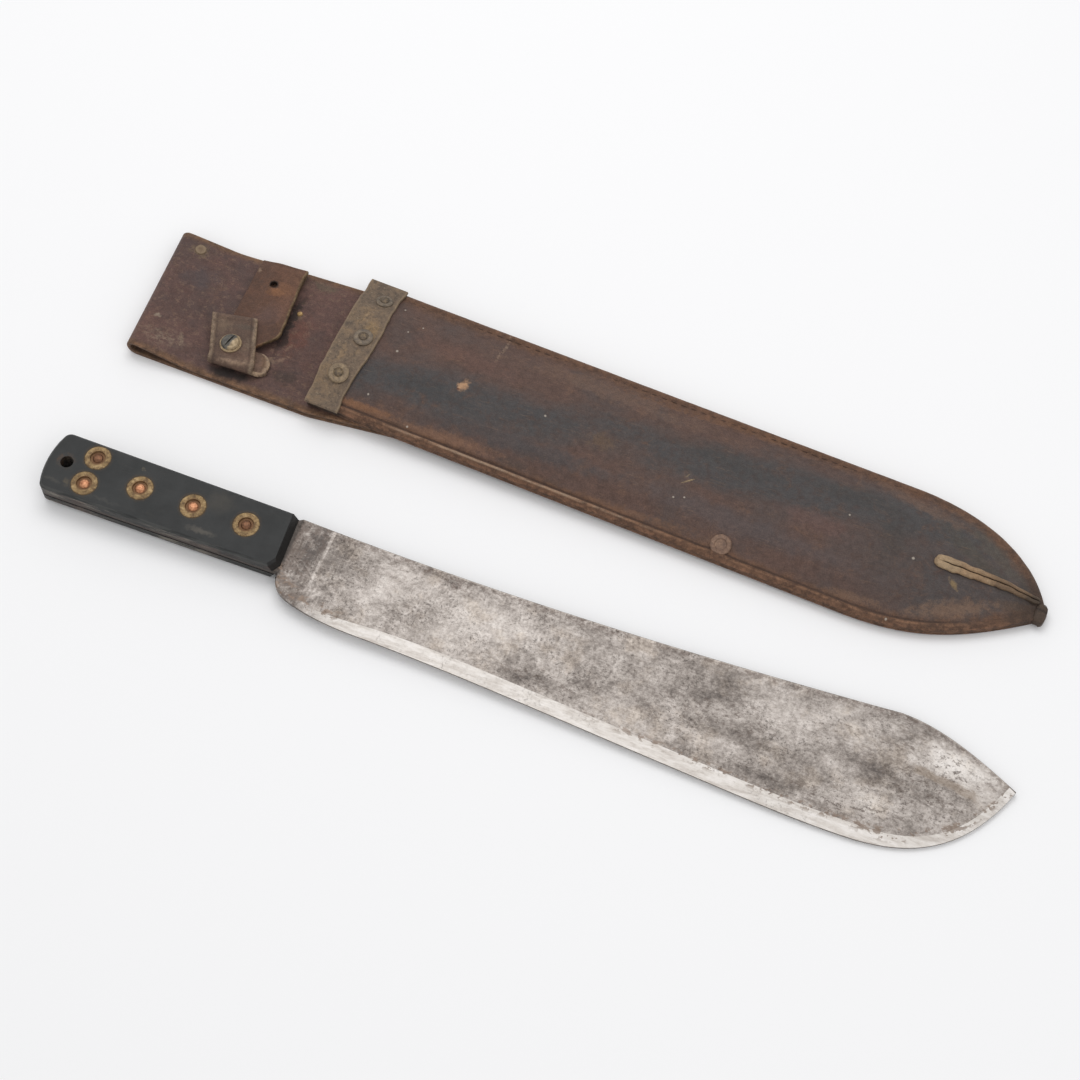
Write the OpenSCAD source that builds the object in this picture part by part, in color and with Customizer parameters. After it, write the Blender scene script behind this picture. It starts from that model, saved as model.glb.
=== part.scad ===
// Machete lying beside its leather sheath, both flat on the floor at z = 0.
// Units are millimetres. X runs from the butt to the tip, Z is up.

/* [Blade] */
// Length from the front of the handle to the tip
blade_len = 377.4; // [330:0.2:410]
// Greatest width, at the belly near the tip
blade_w = 70.2; // [62:0.2:76]
// Thickness of the steel
blade_t = 3.2; // [2.4:0.1:4]
// Thickness left at the dull cutting edge
edge_t = 1; // [0.4:0.1:1.6]
// Width of the ground bevel along the cutting edge
bevel_w = 7.6; // [4:0.2:9]
// Small chamfer along the spine and the tang
spine_chamfer = 0.35; // [0.2:0.05:0.6]

/* [Handle] */
// Length of the handle scales
grip_len = 133.8; // [130:0.2:145]
// Thickness of one scale
scale_t = 5.2; // [4:0.1:7]
// Far side of the handle above the blade's tip line, at the front
grip_far_front = 18.2; // [17.5:0.1:19]
// Far side of the handle at the butt
grip_far_butt = 21.9; // [21.4:0.1:23]
// Near side of the handle below the tip line, at the front
grip_near_front = 14; // [13:0.1:15]
// Near side of the handle at the butt
grip_near_butt = 12.5; // [12:0.1:14]
// Corner radius at the butt
butt_r = 4; // [3:0.5:6]
// How far the middle of the butt bulges past its corners
butt_bulge = 2.2; // [1:0.1:4]
// Chamfer along the outer edges of the scales
grip_chamfer = 1.3; // [0.6:0.1:1.5]
// How far the front end slopes back towards the outer face
front_slope = 2.5; // [1:0.1:4]
// How far the tang stays inside the scales
tang_inset = 0.25; // [0.1:0.05:0.5]
// Radius of the lanyard hole
lanyard_r = 3.4; // [2.5:0.1:4]
// Distance of the lanyard hole from the front of the handle
lanyard_back = 123.2; // [122:0.2:124]
// Height of the lanyard hole above the tip line
lanyard_y = 5.4; // [3:0.1:7]

/* [Rivets of the handle] */
// Radius of the copper shanks
rivet_r = 2.3; // [2:0.1:2.8]
// Radius of the brass washers
washer_r = 6.9; // [6:0.1:7.1]
// Thickness of the brass washers
washer_t = 1.4; // [1:0.1:1.8]
// Depth of the dish in the middle of a washer
dish_depth = 0.9; // [0.5:0.1:0.9]
// How far the washers stand above the scale
washer_proud = 0.25; // [0.1:0.05:0.5]
// Height of the domed rivet heads
head_h = 1.15; // [0.8:0.05:1.5]
// Distance of the first two rivets from the front of the handle
rivet_back_a = 109.3; // [108.5:0.1:110]
// Distance of the third rivet
rivet_back_b = 81.5; // [70:0.5:90]
// Distance of the fourth rivet
rivet_back_c = 51.9; // [42:0.5:62]
// Distance of the fifth rivet
rivet_back_d = 22.4; // [14:0.5:32]
// Clearance of the pieces that are fitted into each other
fit_clear = 0.06; // [0.04:0.01:0.1]

/* [Sheath pouch] */
// Room between the blade and the sewn edge on each side
blade_room = 1.6; // [1.4:0.1:3]
// Width of the welt, the strip sewn in along the edges
welt_w = 4.5; // [3.5:0.1:6]
// Room between the blade's tip and the end of the pouch
tip_room = 14.6; // [13:0.2:20]
// Thickness of the rear panel
back_t = 2.6; // [2:0.1:3.2]
// Thickness of the welt
welt_t = 1.6; // [1.2:0.1:2.4]
// Thickness of the front panel
front_t = 2.4; // [1.8:0.1:3]
// Rise of the domed front panel along its sides
dome_h = 3.8; // [3:0.1:5]
// Further slow rise towards its middle line
crown = 1; // [0.5:0.1:2]
// Width of the slope at each side of the dome
dome_run = 17; // [12:0.5:22]
// Turn of the pouch against the blade, seen from above
pouch_yaw = -4.07; // [-6:0.01:-2]
// Distance along X from the handle's front to the pouch's mouth, negative towards the butt
mouth_x = -24.5; // [-28:0.5:-20]
// How far the near corner of the mouth is set back
mouth_skew = 2.5; // [0:0.1:4]
// Distance across from the tip line to the middle of the mouth
mouth_y = 126.8; // [124:0.1:130]

/* [Mouth band] */
// Width of the strip across the mouth
band_w = 21.5; // [18:0.5:24]
// Thickness of the strip
band_t = 1.8; // [1.2:0.1:2.4]
// How far its near end hangs over the edge of the pouch
band_over = 1.6; // [0:0.1:2.5]
// Radius of the smallest of the three washers on the band
band_washer_r = 4.7; // [4:0.1:4.9]
// Radius of the rivet shanks in the band
band_rivet_r = 1.5; // [1.2:0.1:2]

/* [Belt loop] */
// Thickness of the loop leather
loop_t = 2.4; // [2:0.1:3]
// Room between the two layers at the fold
loop_gap = 6; // [5:0.1:7]
// Distance along X from the handle's front to the fold, negative towards the butt
loop_x = -131; // [-134:0.2:-129]
// Distance from the fold to the place where the layers meet
loop_slope_len = 35; // [32:0.5:37]
// Near side of the loop at the fold
loop_near = 87.5; // [86:0.1:89]
// Width of the loop at the fold
loop_w = 77.8; // [76:0.2:80]
// Turn of the fold against the handle, seen from above
loop_turn = 2; // [0:0.1:3]
// How far the upper layer runs under the pouch
lap_upper = 35; // [30:0.5:40]
// How far the lower layer runs under the pouch
lap_lower = 56; // [50:0.5:60]
// Radius of the hidden rivets that hold the loop
loop_rivet_r = 1.6; // [1.2:0.1:2]

/* [Strap and tab] */
// Thickness of the strap and the tab
flap_t = 2.4; // [2:0.1:2.8]
// Left side of the strap, from the handle's front
strap_x0 = -84.5; // [-87:0.1:-82]
// Width of the strap
strap_w = 27; // [26:0.1:29]
// Near end of the strap
strap_end_y = 104.9; // [104.9:0.1:106]
// Hinge line of the strap
strap_hinge_y = 155; // [152:0.5:157]
// Far end of the strap
strap_far_y = 163.2; // [162:0.1:164.5]
// Hinge line of the tab, at its fold
tab_hinge_y = 95; // [94:0.1:95.2]
// Left side of the fold of the tab
tab_x0 = -85.5; // [-88:0.1:-83]
// Width of the tab
tab_w = 26.5; // [24:0.1:28]
// Length of the tab's flap
tab_len = 24.5; // [22:0.1:26]
// Sideways lean of the tab over its length
tab_lean = 8.5; // [4:0.1:9]
// Radius of the stud's collar
collar_r = 5.9; // [5:0.1:6.5]
// Radius of the stud's domed head
stud_r = 5; // [4:0.1:5.5]
// Width of the slot in the stud
slot_w = 1.1; // [0.8:0.1:1.5]

/* [Hidden] */
eps = 0.01;
curve_steps = 11;
no_wall = 0.02;

// Points of a cubic curve, without its last point
function bez(a, b, c, d, n) = [
    for (i = [0 : n - 1])
    let (t = i / n, u = 1 - t)
    u * u * u * a + 3 * u * u * t * b + 3 * u * t * t * c + t * t * t * d
];
function mix(a, b, t) = a + (b - a) * t;
function clamp(v) = max(0, min(1, v));
function smooth(v) = let (t = clamp(v)) t * t * (3 - 2 * t);
function bp(fx, fy) = [fx * blade_len, fy * blade_w];
function xs(p) = [for (q = p) q[0]];
function ys(p) = [for (q = p) q[1]];
function zs(p) = [for (q = p) q[2]];

// Sides of the handle as straight lines between its front and its butt
butt_x = -grip_len;
corner_x = butt_x + butt_r + butt_bulge;
function grip_far(x) = mix(grip_far_front, grip_far_butt, x / corner_x);
function grip_near(x) = -mix(grip_near_front, grip_near_butt, x / corner_x);

// Outline of the blade with its tang, counterclockwise from the tip
tip_to_crest = bez(bp(1, 0), bp(0.933, 0.188), bp(0.885, 0.291), bp(0.837, 0.299), 16);
crest_to_guard = bez(bp(0.837, 0.299), bp(0.556, 0.212), bp(0.278, 0.188), [2, grip_far_front + 0.8], 20);
butt_mid = (grip_far_butt - grip_near_butt) / 2;
butt_half = (grip_far_butt + grip_near_butt) / 2 - butt_r;
function butt_ring(inset) = let (r = butt_r - inset) concat(
    [for (a = [90 : 18 : 162]) [corner_x + r * cos(a), butt_mid + butt_half + r * sin(a)]],
    [for (k = [0.75 : -0.25 : -0.75])
        [butt_x + inset + butt_bulge * k * k, butt_mid + k * (butt_half + 1)]],
    [for (a = [198 : 18 : 270]) [corner_x + r * cos(a), butt_mid - butt_half + r * sin(a)]]
);
heel_x = 1.6;
tang_front = 0.4;
heel = concat(
    bez([heel_x, -grip_near_front + 0.4], [heel_x, -0.285 * blade_w], bp(0.0132, -0.342), bp(0.0345, -0.38), 8),
    bez(bp(0.0345, -0.38), bp(0.058, -0.419), bp(0.085, -0.45), bp(0.127, -0.459), 8)
);
edge = concat(
    bez(bp(0.127, -0.459), bp(0.278, -0.479), bp(0.437, -0.57), bp(0.596, -0.635), 16),
    bez(bp(0.596, -0.635), bp(0.694, -0.678), bp(0.747, -0.701), bp(0.811, -0.701), 10),
    bez(bp(0.811, -0.701), bp(0.896, -0.701), bp(0.959, -0.541), bp(1, 0), 18)
);
outline = concat(
    tip_to_crest,
    crest_to_guard,
    [[2, grip_far_front + 0.8], [tang_front, grip_far_front - tang_inset]],
    butt_ring(tang_inset),
    [[tang_front, -grip_near_front + tang_inset]],
    heel,
    edge
);
blade_n = len(outline);
edge_from = blade_n - len(edge) - len(heel);

// Width of the bevel at one point of the outline: it grows slowly from the heel
// and narrows again towards the tip, so that its inner border has no kink
bevel_from = 2;
bevel_run = 90;
tip_share = 0.55;
function inset_at(i) = i < edge_from ? spine_chamfer : let (
    p = outline[i],
    grow = 1 - pow(1 - clamp((p[0] - bevel_from) / bevel_run), 2),
    thin = mix(1, tip_share, smooth((p[0] / blade_len - 0.78) / 0.2))
) mix(spine_chamfer, bevel_w * thin, grow);
function half_at(i) = i < edge_from ? blade_t / 2 - spine_chamfer :
    mix(blade_t / 2 - spine_chamfer, edge_t / 2, smooth((outline[i][0] - 12) / 40));

// Inner corner at the tip, a short way back along the spine
tip_back = 4;
along_spine = (outline[1] - outline[0]) / norm(outline[1] - outline[0]);
tip_in = outline[0] + tip_back * along_spine + spine_chamfer * [-along_spine[1], along_spine[0]];
function inner(i) = i == 0 ? tip_in : let (
    a = outline[(i + blade_n - 1) % blade_n],
    b = outline[(i + 1) % blade_n],
    t = (b - a) / norm(b - a)
) outline[i] + inset_at(i) * [-t[1], t[0]];
ring_in = [for (i = [0 : blade_n - 1]) inner(i)];
blade_pts = concat(
    [for (i = [0 : blade_n - 1]) [ring_in[i][0], ring_in[i][1], -blade_t / 2]],
    [for (i = [0 : blade_n - 1]) [outline[i][0], outline[i][1], -half_at(i)]],
    [for (i = [0 : blade_n - 1]) [outline[i][0], outline[i][1], half_at(i)]],
    [for (i = [0 : blade_n - 1]) [ring_in[i][0], ring_in[i][1], blade_t / 2]]
);

// Faces of a body built from rings of n points, the first and the last closed by caps
function band_faces(n, rings) = [
    for (r = [0 : rings - 2])
    for (i = [0 : n - 1])
    for (k = [0, 1])
    let (a = r * n + i, b = r * n + (i + 1) % n)
    k == 0 ? [a, a + n, b] : [b, a + n, b + n]
];
function caps(n, rings) = [
    [for (i = [0 : n - 1]) i],
    [for (i = [n - 1 : -1 : 0]) (rings - 1) * n + i]
];

// Handle measures that several pieces share
handle_t = blade_t + 2 * scale_t;
shank_hole = rivet_r + fit_clear;
recess_r = washer_r + fit_clear;
recess_d = washer_t - washer_proud;
rivets = [
    [-rivet_back_a, 12.9],
    [-rivet_back_a, -3],
    [-rivet_back_b, 4.3],
    [-rivet_back_c, 4],
    [-rivet_back_d, 3.6]
];

// Resting place of the machete: front corner of the lower scale, tip and belly on the floor
rest_a = [-front_slope + 1.4, -grip_near_front + grip_chamfer, -handle_t / 2];
rest_b = [outline[1][0], outline[1][1] - 0.6, -blade_t / 2];
belly_i = blade_n - 16;
rest_c = [ring_in[belly_i][0], ring_in[belly_i][1], -blade_t / 2];
rest_n = cross(rest_c - rest_a, rest_b - rest_a);
rest_up = rest_n[2] > 0 ? rest_n : -rest_n;
rest_rx = atan2(rest_up[1], rest_up[2]);
rest_ry = -atan2(rest_up[0], norm([rest_up[1], rest_up[2]]));
function turned(p) = let (
    y = p[1] * cos(rest_rx) - p[2] * sin(rest_rx),
    z = p[1] * sin(rest_rx) + p[2] * cos(rest_rx)
) [p[0] * cos(rest_ry) + z * sin(rest_ry), y, -p[0] * sin(rest_ry) + z * cos(rest_ry)];
blade_turned = [for (p = blade_pts) turned(p)];
scale_low = turned(rest_a)[2];
rest_lift = -min(min(zs(blade_turned)), scale_low);
butt_turned = turned([butt_x, butt_mid, handle_t / 2]);

// Pouch: outline in its own frame, x from the mouth to the tip, y across
pouch_half = blade_w / 2 + blade_room + welt_w;
pouch_len = blade_len + tip_room;
shoulder_far_back = 80;
shoulder_near_back = 94;
far_pull_a = 43;
far_pull_b = 14;
near_pull_a = 58;
near_pull_b = 36;
tip_far_y = 2.5;
tip_near_y = -5;
shoulder_far = pouch_len - shoulder_far_back;
shoulder_near = pouch_len - shoulder_near_back;
tip_far = [pouch_len, tip_far_y];
tip_near = [pouch_len, tip_near_y];
function far_curve(n) = bez([shoulder_far, pouch_half], [pouch_len - far_pull_a, pouch_half],
    [pouch_len - far_pull_b, 0.68 * pouch_half], tip_far, n);
function near_curve(n) = bez([shoulder_near, -pouch_half], [pouch_len - near_pull_a, -pouch_half],
    [pouch_len - near_pull_b, -0.815 * pouch_half], tip_near, n);
straight_steps = 1;
function line(a, b, n) = [for (i = [0 : n - 1]) mix(a, b, i / n)];
side_far = concat(line([0, pouch_half], [shoulder_far, pouch_half], straight_steps),
    far_curve(curve_steps), [tip_far]);
side_near = concat(line([mouth_skew, -pouch_half], [shoulder_near, -pouch_half], straight_steps),
    near_curve(curve_steps), [tip_near]);
rows = len(side_far);
function back_of(p) = [for (i = [len(p) - 1 : -1 : 0]) p[i]];
pouch_plan = concat(side_near, back_of(side_far));

// Heights inside the pouch, from the underside of the rear panel
welt_z = back_t;
front_z = back_t + welt_t;
function dome(d) = dome_h * smooth((d - welt_w) / dome_run) + crown * pow(d / pouch_half, 2);

// The pouch leans on the loop under its mouth and touches the floor at its tip
lap_h = 2 * loop_t;
lap_clear = 0.15;
pouch_pitch = asin((lap_h + lap_clear) / (pouch_len - lap_upper));
mouth_z = pouch_len * sin(pouch_pitch);
function to_floor(p) = let (
    x = p[0] * cos(pouch_pitch) + p[2] * sin(pouch_pitch)
) [mouth_x + x * cos(pouch_yaw) - p[1] * sin(pouch_yaw), mouth_y + x * sin(pouch_yaw) + p[1] * cos(pouch_yaw)];

// Loop: its upper face is level where the strap and the tab lie
loop_top = mouth_z - 0.1;
loop_r = (loop_gap + 2 * loop_t) / 2;
level_x = loop_x + loop_slope_len;
lap_x = mouth_x + lap_upper * cos(pouch_yaw);
under_z = loop_top - loop_t;
lap_under = loop_t + no_wall;
arc = [for (a = [90 : 15 : 270]) a];
loop_profile = concat(
    [[mouth_x + lap_lower, loop_t], [mouth_x + lap_lower, 0]],
    [for (a = back_of(arc)) [loop_x + loop_r + loop_r * cos(a), loop_r + loop_r * sin(a)]],
    [[level_x, loop_top], [mouth_x, loop_top], [lap_x, lap_under + loop_t],
        [lap_x, lap_under], [mouth_x, under_z], [level_x, under_z]],
    [for (a = arc) [loop_x + loop_r + (loop_r - loop_t) * cos(a), loop_r + (loop_r - loop_t) * sin(a)]]
);
near_slope = -0.0564;
far_slope = -0.002;
function loop_near_at(x) = loop_near + near_slope * (x - loop_x);
function loop_far_at(x) = loop_near + loop_w + far_slope * (x - loop_x);

// Middle of the floor plan, which is the origin
fold_left = loop_x - loop_w * tan(loop_turn);
plan_x = concat(xs(blade_turned), [butt_turned[0], fold_left], xs([for (p = pouch_plan) to_floor([p[0], p[1], 0])]));
mid_x = (min(plan_x) + max(plan_x)) / 2;
mouth_corner = to_floor([0, pouch_half, front_z + front_t]);
far_y = max(mouth_corner[1], loop_far_at(loop_x));
low_y = min(ys(blade_turned));
mid_y = (far_y + low_y) / 2;

// Body through rings of n points, each ring counterclockwise seen from the last one
module loft(n, points) {
    rings = len(points) / n;
    polyhedron(points = points, faces = concat(caps(n, rings), band_faces(n, rings)));
}

module frame() {
    translate([-mid_x, -mid_y, 0])
    children();
}

// Puts the machete on the floor
module lying() {
    frame()
    translate([0, 0, rest_lift])
    rotate([0, rest_ry, 0])
    rotate([rest_rx, 0, 0])
    children();
}

// Puts the pouch beside it
module pouch() {
    frame()
    translate([mouth_x, mouth_y, mouth_z])
    rotate([0, 0, pouch_yaw])
    rotate([0, pouch_pitch, 0])
    children();
}

module blade() {
    color("silver")
    lying()
    difference() {
        loft(blade_n, blade_pts);
        for (p = rivets)
            translate([p[0], p[1], -blade_t])
            cylinder(r = shank_hole, h = 2 * blade_t, $fn = 48);
        translate([-lanyard_back, lanyard_y, -blade_t])
        cylinder(r = lanyard_r, h = 2 * blade_t, $fn = 48);
    }
}

// Outline of a scale: inset on the sides, set back at the front
function grip_ring(z, inset, back) = [for (p = concat(
    [[-back, grip_far_front - inset - 0.8], [-back - 0.8, grip_far_front - inset]],
    butt_ring(inset),
    [[-back - 1.2, -grip_near_front + inset], [-back + 1.6, -grip_near_front + inset + 4.2]]
)) [p[0], p[1], z]];
grip_n = len(grip_ring(0, 0, 0));

module scale_body() {
    difference() {
        loft(grip_n, concat(
            grip_ring(blade_t / 2 + no_wall, 0, 0),
            grip_ring(handle_t / 2 - grip_chamfer, 0, front_slope - grip_chamfer / 2),
            grip_ring(handle_t / 2, grip_chamfer, front_slope)
        ));
        for (p = rivets) {
            translate([p[0], p[1], 0])
            cylinder(r = shank_hole, h = handle_t, $fn = 48);
            translate([p[0], p[1], handle_t / 2 - recess_d])
            cylinder(r = recess_r, h = handle_t, $fn = 64);
        }
        translate([-lanyard_back, lanyard_y, 0])
        cylinder(r = lanyard_r, h = handle_t, $fn = 48);
    }
}

module scale_top() {
    color("dimgray")
    lying()
    scale_body();
}

module scale_bottom() {
    color("dimgray")
    lying()
    mirror([0, 0, 1])
    scale_body();
}

head_r = rivet_r + 0.35;
dish_r = head_r + 1.1;
washer_z = handle_t / 2 - recess_d + no_wall;
washer_top = washer_z + washer_t;
head_z = washer_top - dish_depth + no_wall;

module washer(n) {
    translate([rivets[n][0], rivets[n][1], washer_z])
    rotate_extrude($fn = 64)
    polygon([
        [shank_hole, 0],
        [washer_r, 0],
        [washer_r, washer_t - 0.3],
        [washer_r - 0.35, washer_t],
        [dish_r + 0.3, washer_t],
        [dish_r, washer_t - dish_depth],
        [shank_hole, washer_t - dish_depth]
    ]);
}

module rivet(n) {
    color("peru")
    lying()
    translate([rivets[n][0], rivets[n][1], 0])
    rotate_extrude($fn = 48)
    polygon([
        [0, -head_z - head_h],
        [0.45 * head_r, -head_z - 0.92 * head_h],
        [0.8 * head_r, -head_z - 0.62 * head_h],
        [head_r, -head_z - 0.15 * head_h],
        [head_r, -head_z],
        [rivet_r, -head_z],
        [rivet_r, head_z],
        [head_r, head_z],
        [head_r, head_z + 0.15 * head_h],
        [0.8 * head_r, head_z + 0.62 * head_h],
        [0.45 * head_r, head_z + 0.92 * head_h],
        [0, head_z + head_h]
    ]);
}

module washer_top(n) {
    color("goldenrod")
    lying()
    washer(n);
}

module washer_bottom(n) {
    color("goldenrod")
    lying()
    mirror([0, 0, 1])
    washer(n);
}

// Places of the hidden loop rivets, in the pouch's frame
loop_rivets = [[16, 26], [16, 0], [16, -26]];
loop_rivet_hole = loop_rivet_r + fit_clear;

module sheath_back() {
    color("saddlebrown")
    pouch()
    difference() {
        linear_extrude(height = back_t - no_wall)
        polygon(pouch_plan);
        for (p = loop_rivets)
            translate([p[0], p[1], -1])
            cylinder(r = loop_rivet_hole, h = back_t + 2, $fn = 32);
    }
}

// One row across the front panel: outer face from far to near, then the inner face back
across = concat([-1, -0.89], [for (q = [-0.8 : 0.1 : 0.8]) q], [0.89, 1]);
function row_pt(a, b, q, z) = let (
    p = mix(a, b, (q + 1) / 2),
    d = norm(b - a) / 2 * (1 - abs(q))
) [p[0], p[1], z + dome(d)];
function panel_row(a, b, z0, z1) = concat(
    [for (q = back_of(across)) row_pt(a, b, q, z1)],
    [for (q = across) row_pt(a, b, q, z0)]
);
row_n = 2 * len(across);

// Places of the band's rivets, in the pouch's frame, each square to the dome
slope_mid = pouch_half - welt_w - dome_run / 2;
slope_top = pouch_half - welt_w - 0.82 * dome_run;
band_rivets = [[13.4, slope_mid + 1.2], [14.6, 1.9], [12.6, -slope_top - 0.3]];
band_hole = band_rivet_r + fit_clear;
band_z = front_z + front_t + no_wall;
band_face = band_z + band_t;
function spot_dome(p) = dome(pouch_half - abs(p[1]));
function spot_tilt(p) = atan((spot_dome([0, p[1] + 1]) - spot_dome([0, p[1] - 1])) / 2);

module on_band(p) {
    translate([p[0], p[1], band_face + spot_dome(p)])
    rotate([spot_tilt(p), 0, 0])
    children();
}

side_spot = [232.6, -pouch_half + 8];
side_hole = 1.26;
side_head_r = 5.6;
side_head_z = 0.95;

module on_side() {
    translate([side_spot[0], side_spot[1], front_z + front_t + spot_dome(side_spot)])
    rotate([spot_tilt(side_spot), 0, 0])
    children();
}

module sheath_front() {
    color("sienna")
    pouch()
    difference() {
        loft(row_n, [for (i = [0 : rows - 1])
            for (p = panel_row(side_near[i], side_far[i], front_z, front_z + front_t)) p]);
        for (p = band_rivets)
            on_band(p)
            cylinder(r = band_hole, h = 30, center = true, $fn = 32);
        on_side()
        cylinder(r = side_hole, h = 20, center = true, $fn = 24);
    }
}

// Strip between the outline and the same line moved inwards
function inward(p, i, side) = let (
    a = p[max(0, i - 1)],
    b = p[min(len(p) - 1, i + 1)],
    t = (b - a) / norm(b - a)
) p[i] + side * welt_w * [-t[1], t[0]];

module welt_strip(p, side) {
    last = len(p) - 3;
    color("tan")
    pouch()
    translate([0, 0, welt_z])
    linear_extrude(height = welt_t - no_wall)
    polygon(concat(
        [for (i = [0 : last]) p[i]],
        [for (i = [last : -1 : 0]) inward(p, i, side)]
    ));
}

module welt_near() {
    welt_strip(side_near, 1);
}

module welt_far() {
    welt_strip(side_far, -1);
}

// Thread along both edges, one stitch after the other
stitch_in = 2.6;
stitch_len = 3.4;
stitch_gap = 2.2;
stitch_w = 0.8;
stitch_h = 0.5;

stitch_from = band_w + 4;
stitch_end_gap = 8;
function off_side_rivet(x) = abs(x + stitch_len / 2 - side_spot[0]) > side_head_r + stitch_len / 2;

module stitches(side, reach) {
    for (x = [stitch_from : stitch_len + stitch_gap : reach - stitch_end_gap])
        if (side > 0 || off_side_rivet(x))
            translate([x, side * (pouch_half - stitch_in) - stitch_w / 2, front_z + front_t + no_wall])
            cube([stitch_len, stitch_w, stitch_h]);
}

module edge_stitching() {
    color("black")
    pouch() {
        stitches(1, shoulder_far);
        stitches(-1, shoulder_near);
    }
}

// Raised seam at the tip: two lips side by side that follow the dome down to the tip
seam_from_back = 58.5;
seam_to_back = 4;
seam_from = [pouch_len - seam_from_back, 0.3];
seam_to = [pouch_len - seam_to_back, 1.5];
seam_w = 4.2;
seam_h = 1.5;
seam_lift = 1.15;
seam_split = 0.15;
seam_steps = 9;
function tip_dome(x, y) = let (
    far = lookup(x, [for (p = side_far) [p[0], p[1]]]),
    near = lookup(x, [for (p = side_near) [p[0], p[1]]]),
    slack = 0.82 * min(far - y, y - near)
) dome(max(0, slack));
function lip_ring(k, side) = let (
    t = k / seam_steps,
    x = mix(seam_from[0], seam_to[0], t),
    y = mix(seam_from[1], seam_to[1], t),
    w = seam_w * mix(1, 0.45, t),
    h = seam_h * min(1, 0.35 + 2 * min(t, 1 - t)),
    z = front_z + front_t + tip_dome(x, y) + seam_lift,
    y0 = y + (side > 0 ? seam_split : -seam_split - w)
) [[x, y0, z], [x, y0 + w, z], [x, y0 + 0.85 * w, z + 0.75 * h], [x, y0 + 0.5 * w, z + h], [x, y0 + 0.15 * w, z + 0.75 * h]];

module tip_seam() {
    color("tan")
    pouch()
    for (side = [-1, 1])
        loft(5, [for (k = [0 : seam_steps]) for (p = lip_ring(k, side)) p]);
}

// Folded leather nub that closes the tip
cap_len = 2.8;
cap_r = 1.3;
cap_half = (tip_far[1] - tip_near[1]) / 2 - 0.1;

module tip_cap() {
    color("black")
    pouch()
    translate([pouch_len + no_wall, (tip_far[1] + tip_near[1]) / 2, 0])
    hull() {
        translate([0, -cap_half, 0.4])
        cube([0.5, 2 * cap_half, front_z + front_t - 0.6]);
        for (side = [-1, 1])
            translate([cap_len - cap_r, side * (cap_half - cap_r), cap_r + 0.4])
            sphere(r = cap_r, $fn = 20);
    }
}

// Strip across the mouth, laid on the domed panel
band_start = -0.4;
band_lift = 0.1;

band_near = -pouch_half - band_over;
function band_pt(q, z) = let (
    y = mix(band_near, pouch_half, (q + 1) / 2),
    d = pouch_half - abs(y)
) [y, z + (d > welt_w ? dome(d) : 0)];
band_q = concat([-1], [for (q = [-0.86 : 0.08 : 0.9]) q], [1]);
band_plan = [
    [band_start + mouth_skew, band_near - 1],
    [band_w + 1, band_near - 1],
    [band_w + 1, pouch_half + 1],
    [band_start, pouch_half + 1]
];

module mouth_band() {
    color("gray")
    pouch()
    difference() {
        intersection() {
            translate([band_start, 0, 0])
            rotate([90, 0, 90])
            linear_extrude(height = band_w - band_start)
            polygon(concat(
                [for (q = band_q) band_pt(q, band_z + band_lift)],
                [for (q = back_of(band_q)) band_pt(q, band_z + band_t)]
            ));
            linear_extrude(height = 20)
            polygon(band_plan);
        }
        for (p = band_rivets)
            on_band(p)
            cylinder(r = band_hole, h = 30, center = true, $fn = 32);
    }
}

washer_lift = 0.26;
washer_share = [1, 1.13, 1.2];
mouth_washer_t = 0.9;
mouth_head_r = 2.3;
mouth_head_h = 0.9;

module mouth_washer(n) {
    r = band_washer_r * washer_share[n];
    color("darkkhaki")
    pouch()
    on_band(band_rivets[n])
    translate([0, 0, washer_lift])
    rotate_extrude($fn = 48)
    polygon([
        [band_hole, 0],
        [r, 0],
        [r, 0.4],
        [r - 0.6, mouth_washer_t],
        [band_hole + 1.3, mouth_washer_t],
        [band_hole + 1, mouth_washer_t - 0.4],
        [band_hole, mouth_washer_t - 0.4]
    ]);
}

module mouth_rivet(n) {
    top = washer_lift + mouth_washer_t - 0.4 + no_wall;
    bottom = -band_t - front_t - 0.8;
    color("peru")
    pouch()
    on_band(band_rivets[n])
    rotate_extrude($fn = 32)
    polygon([
        [0, bottom],
        [band_rivet_r + 1.2, bottom],
        [band_rivet_r + 1.2, bottom + 0.45],
        [band_rivet_r, bottom + 0.45],
        [band_rivet_r, top],
        [mouth_head_r, top],
        [0.8 * mouth_head_r, top + 0.6 * mouth_head_h],
        [0.4 * mouth_head_r, top + 0.95 * mouth_head_h],
        [0, top + mouth_head_h]
    ]);
}

// Old single rivet near the near edge
module side_rivet() {
    color("sienna")
    pouch()
    on_side()
    rotate_extrude($fn = 48)
    polygon([
        [0, -front_t],
        [side_hole - fit_clear, -front_t],
        [side_hole - fit_clear, side_head_z],
        [side_head_r, side_head_z],
        [0.93 * side_head_r, side_head_z + 0.5],
        [0.6 * side_head_r, side_head_z + 0.8],
        [0.5 * side_head_r, side_head_z + 0.4],
        [0, side_head_z + 0.4]
    ]);
}

// Plan of the loop, with the near corner of the lapped end cut back
loop_margin = 40;
loop_end = mouth_x + lap_lower + 2;
loop_plan = [
    [loop_x - 9, loop_near_at(loop_x - 9)],
    [mouth_x - 1, loop_near_at(mouth_x - 1)],
    [loop_end + 1, loop_near_at(mouth_x) + 4.5],
    [loop_end + 1, loop_far_at(loop_end + 1)],
    [loop_x - 9, loop_far_at(loop_x - 9)]
];

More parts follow.
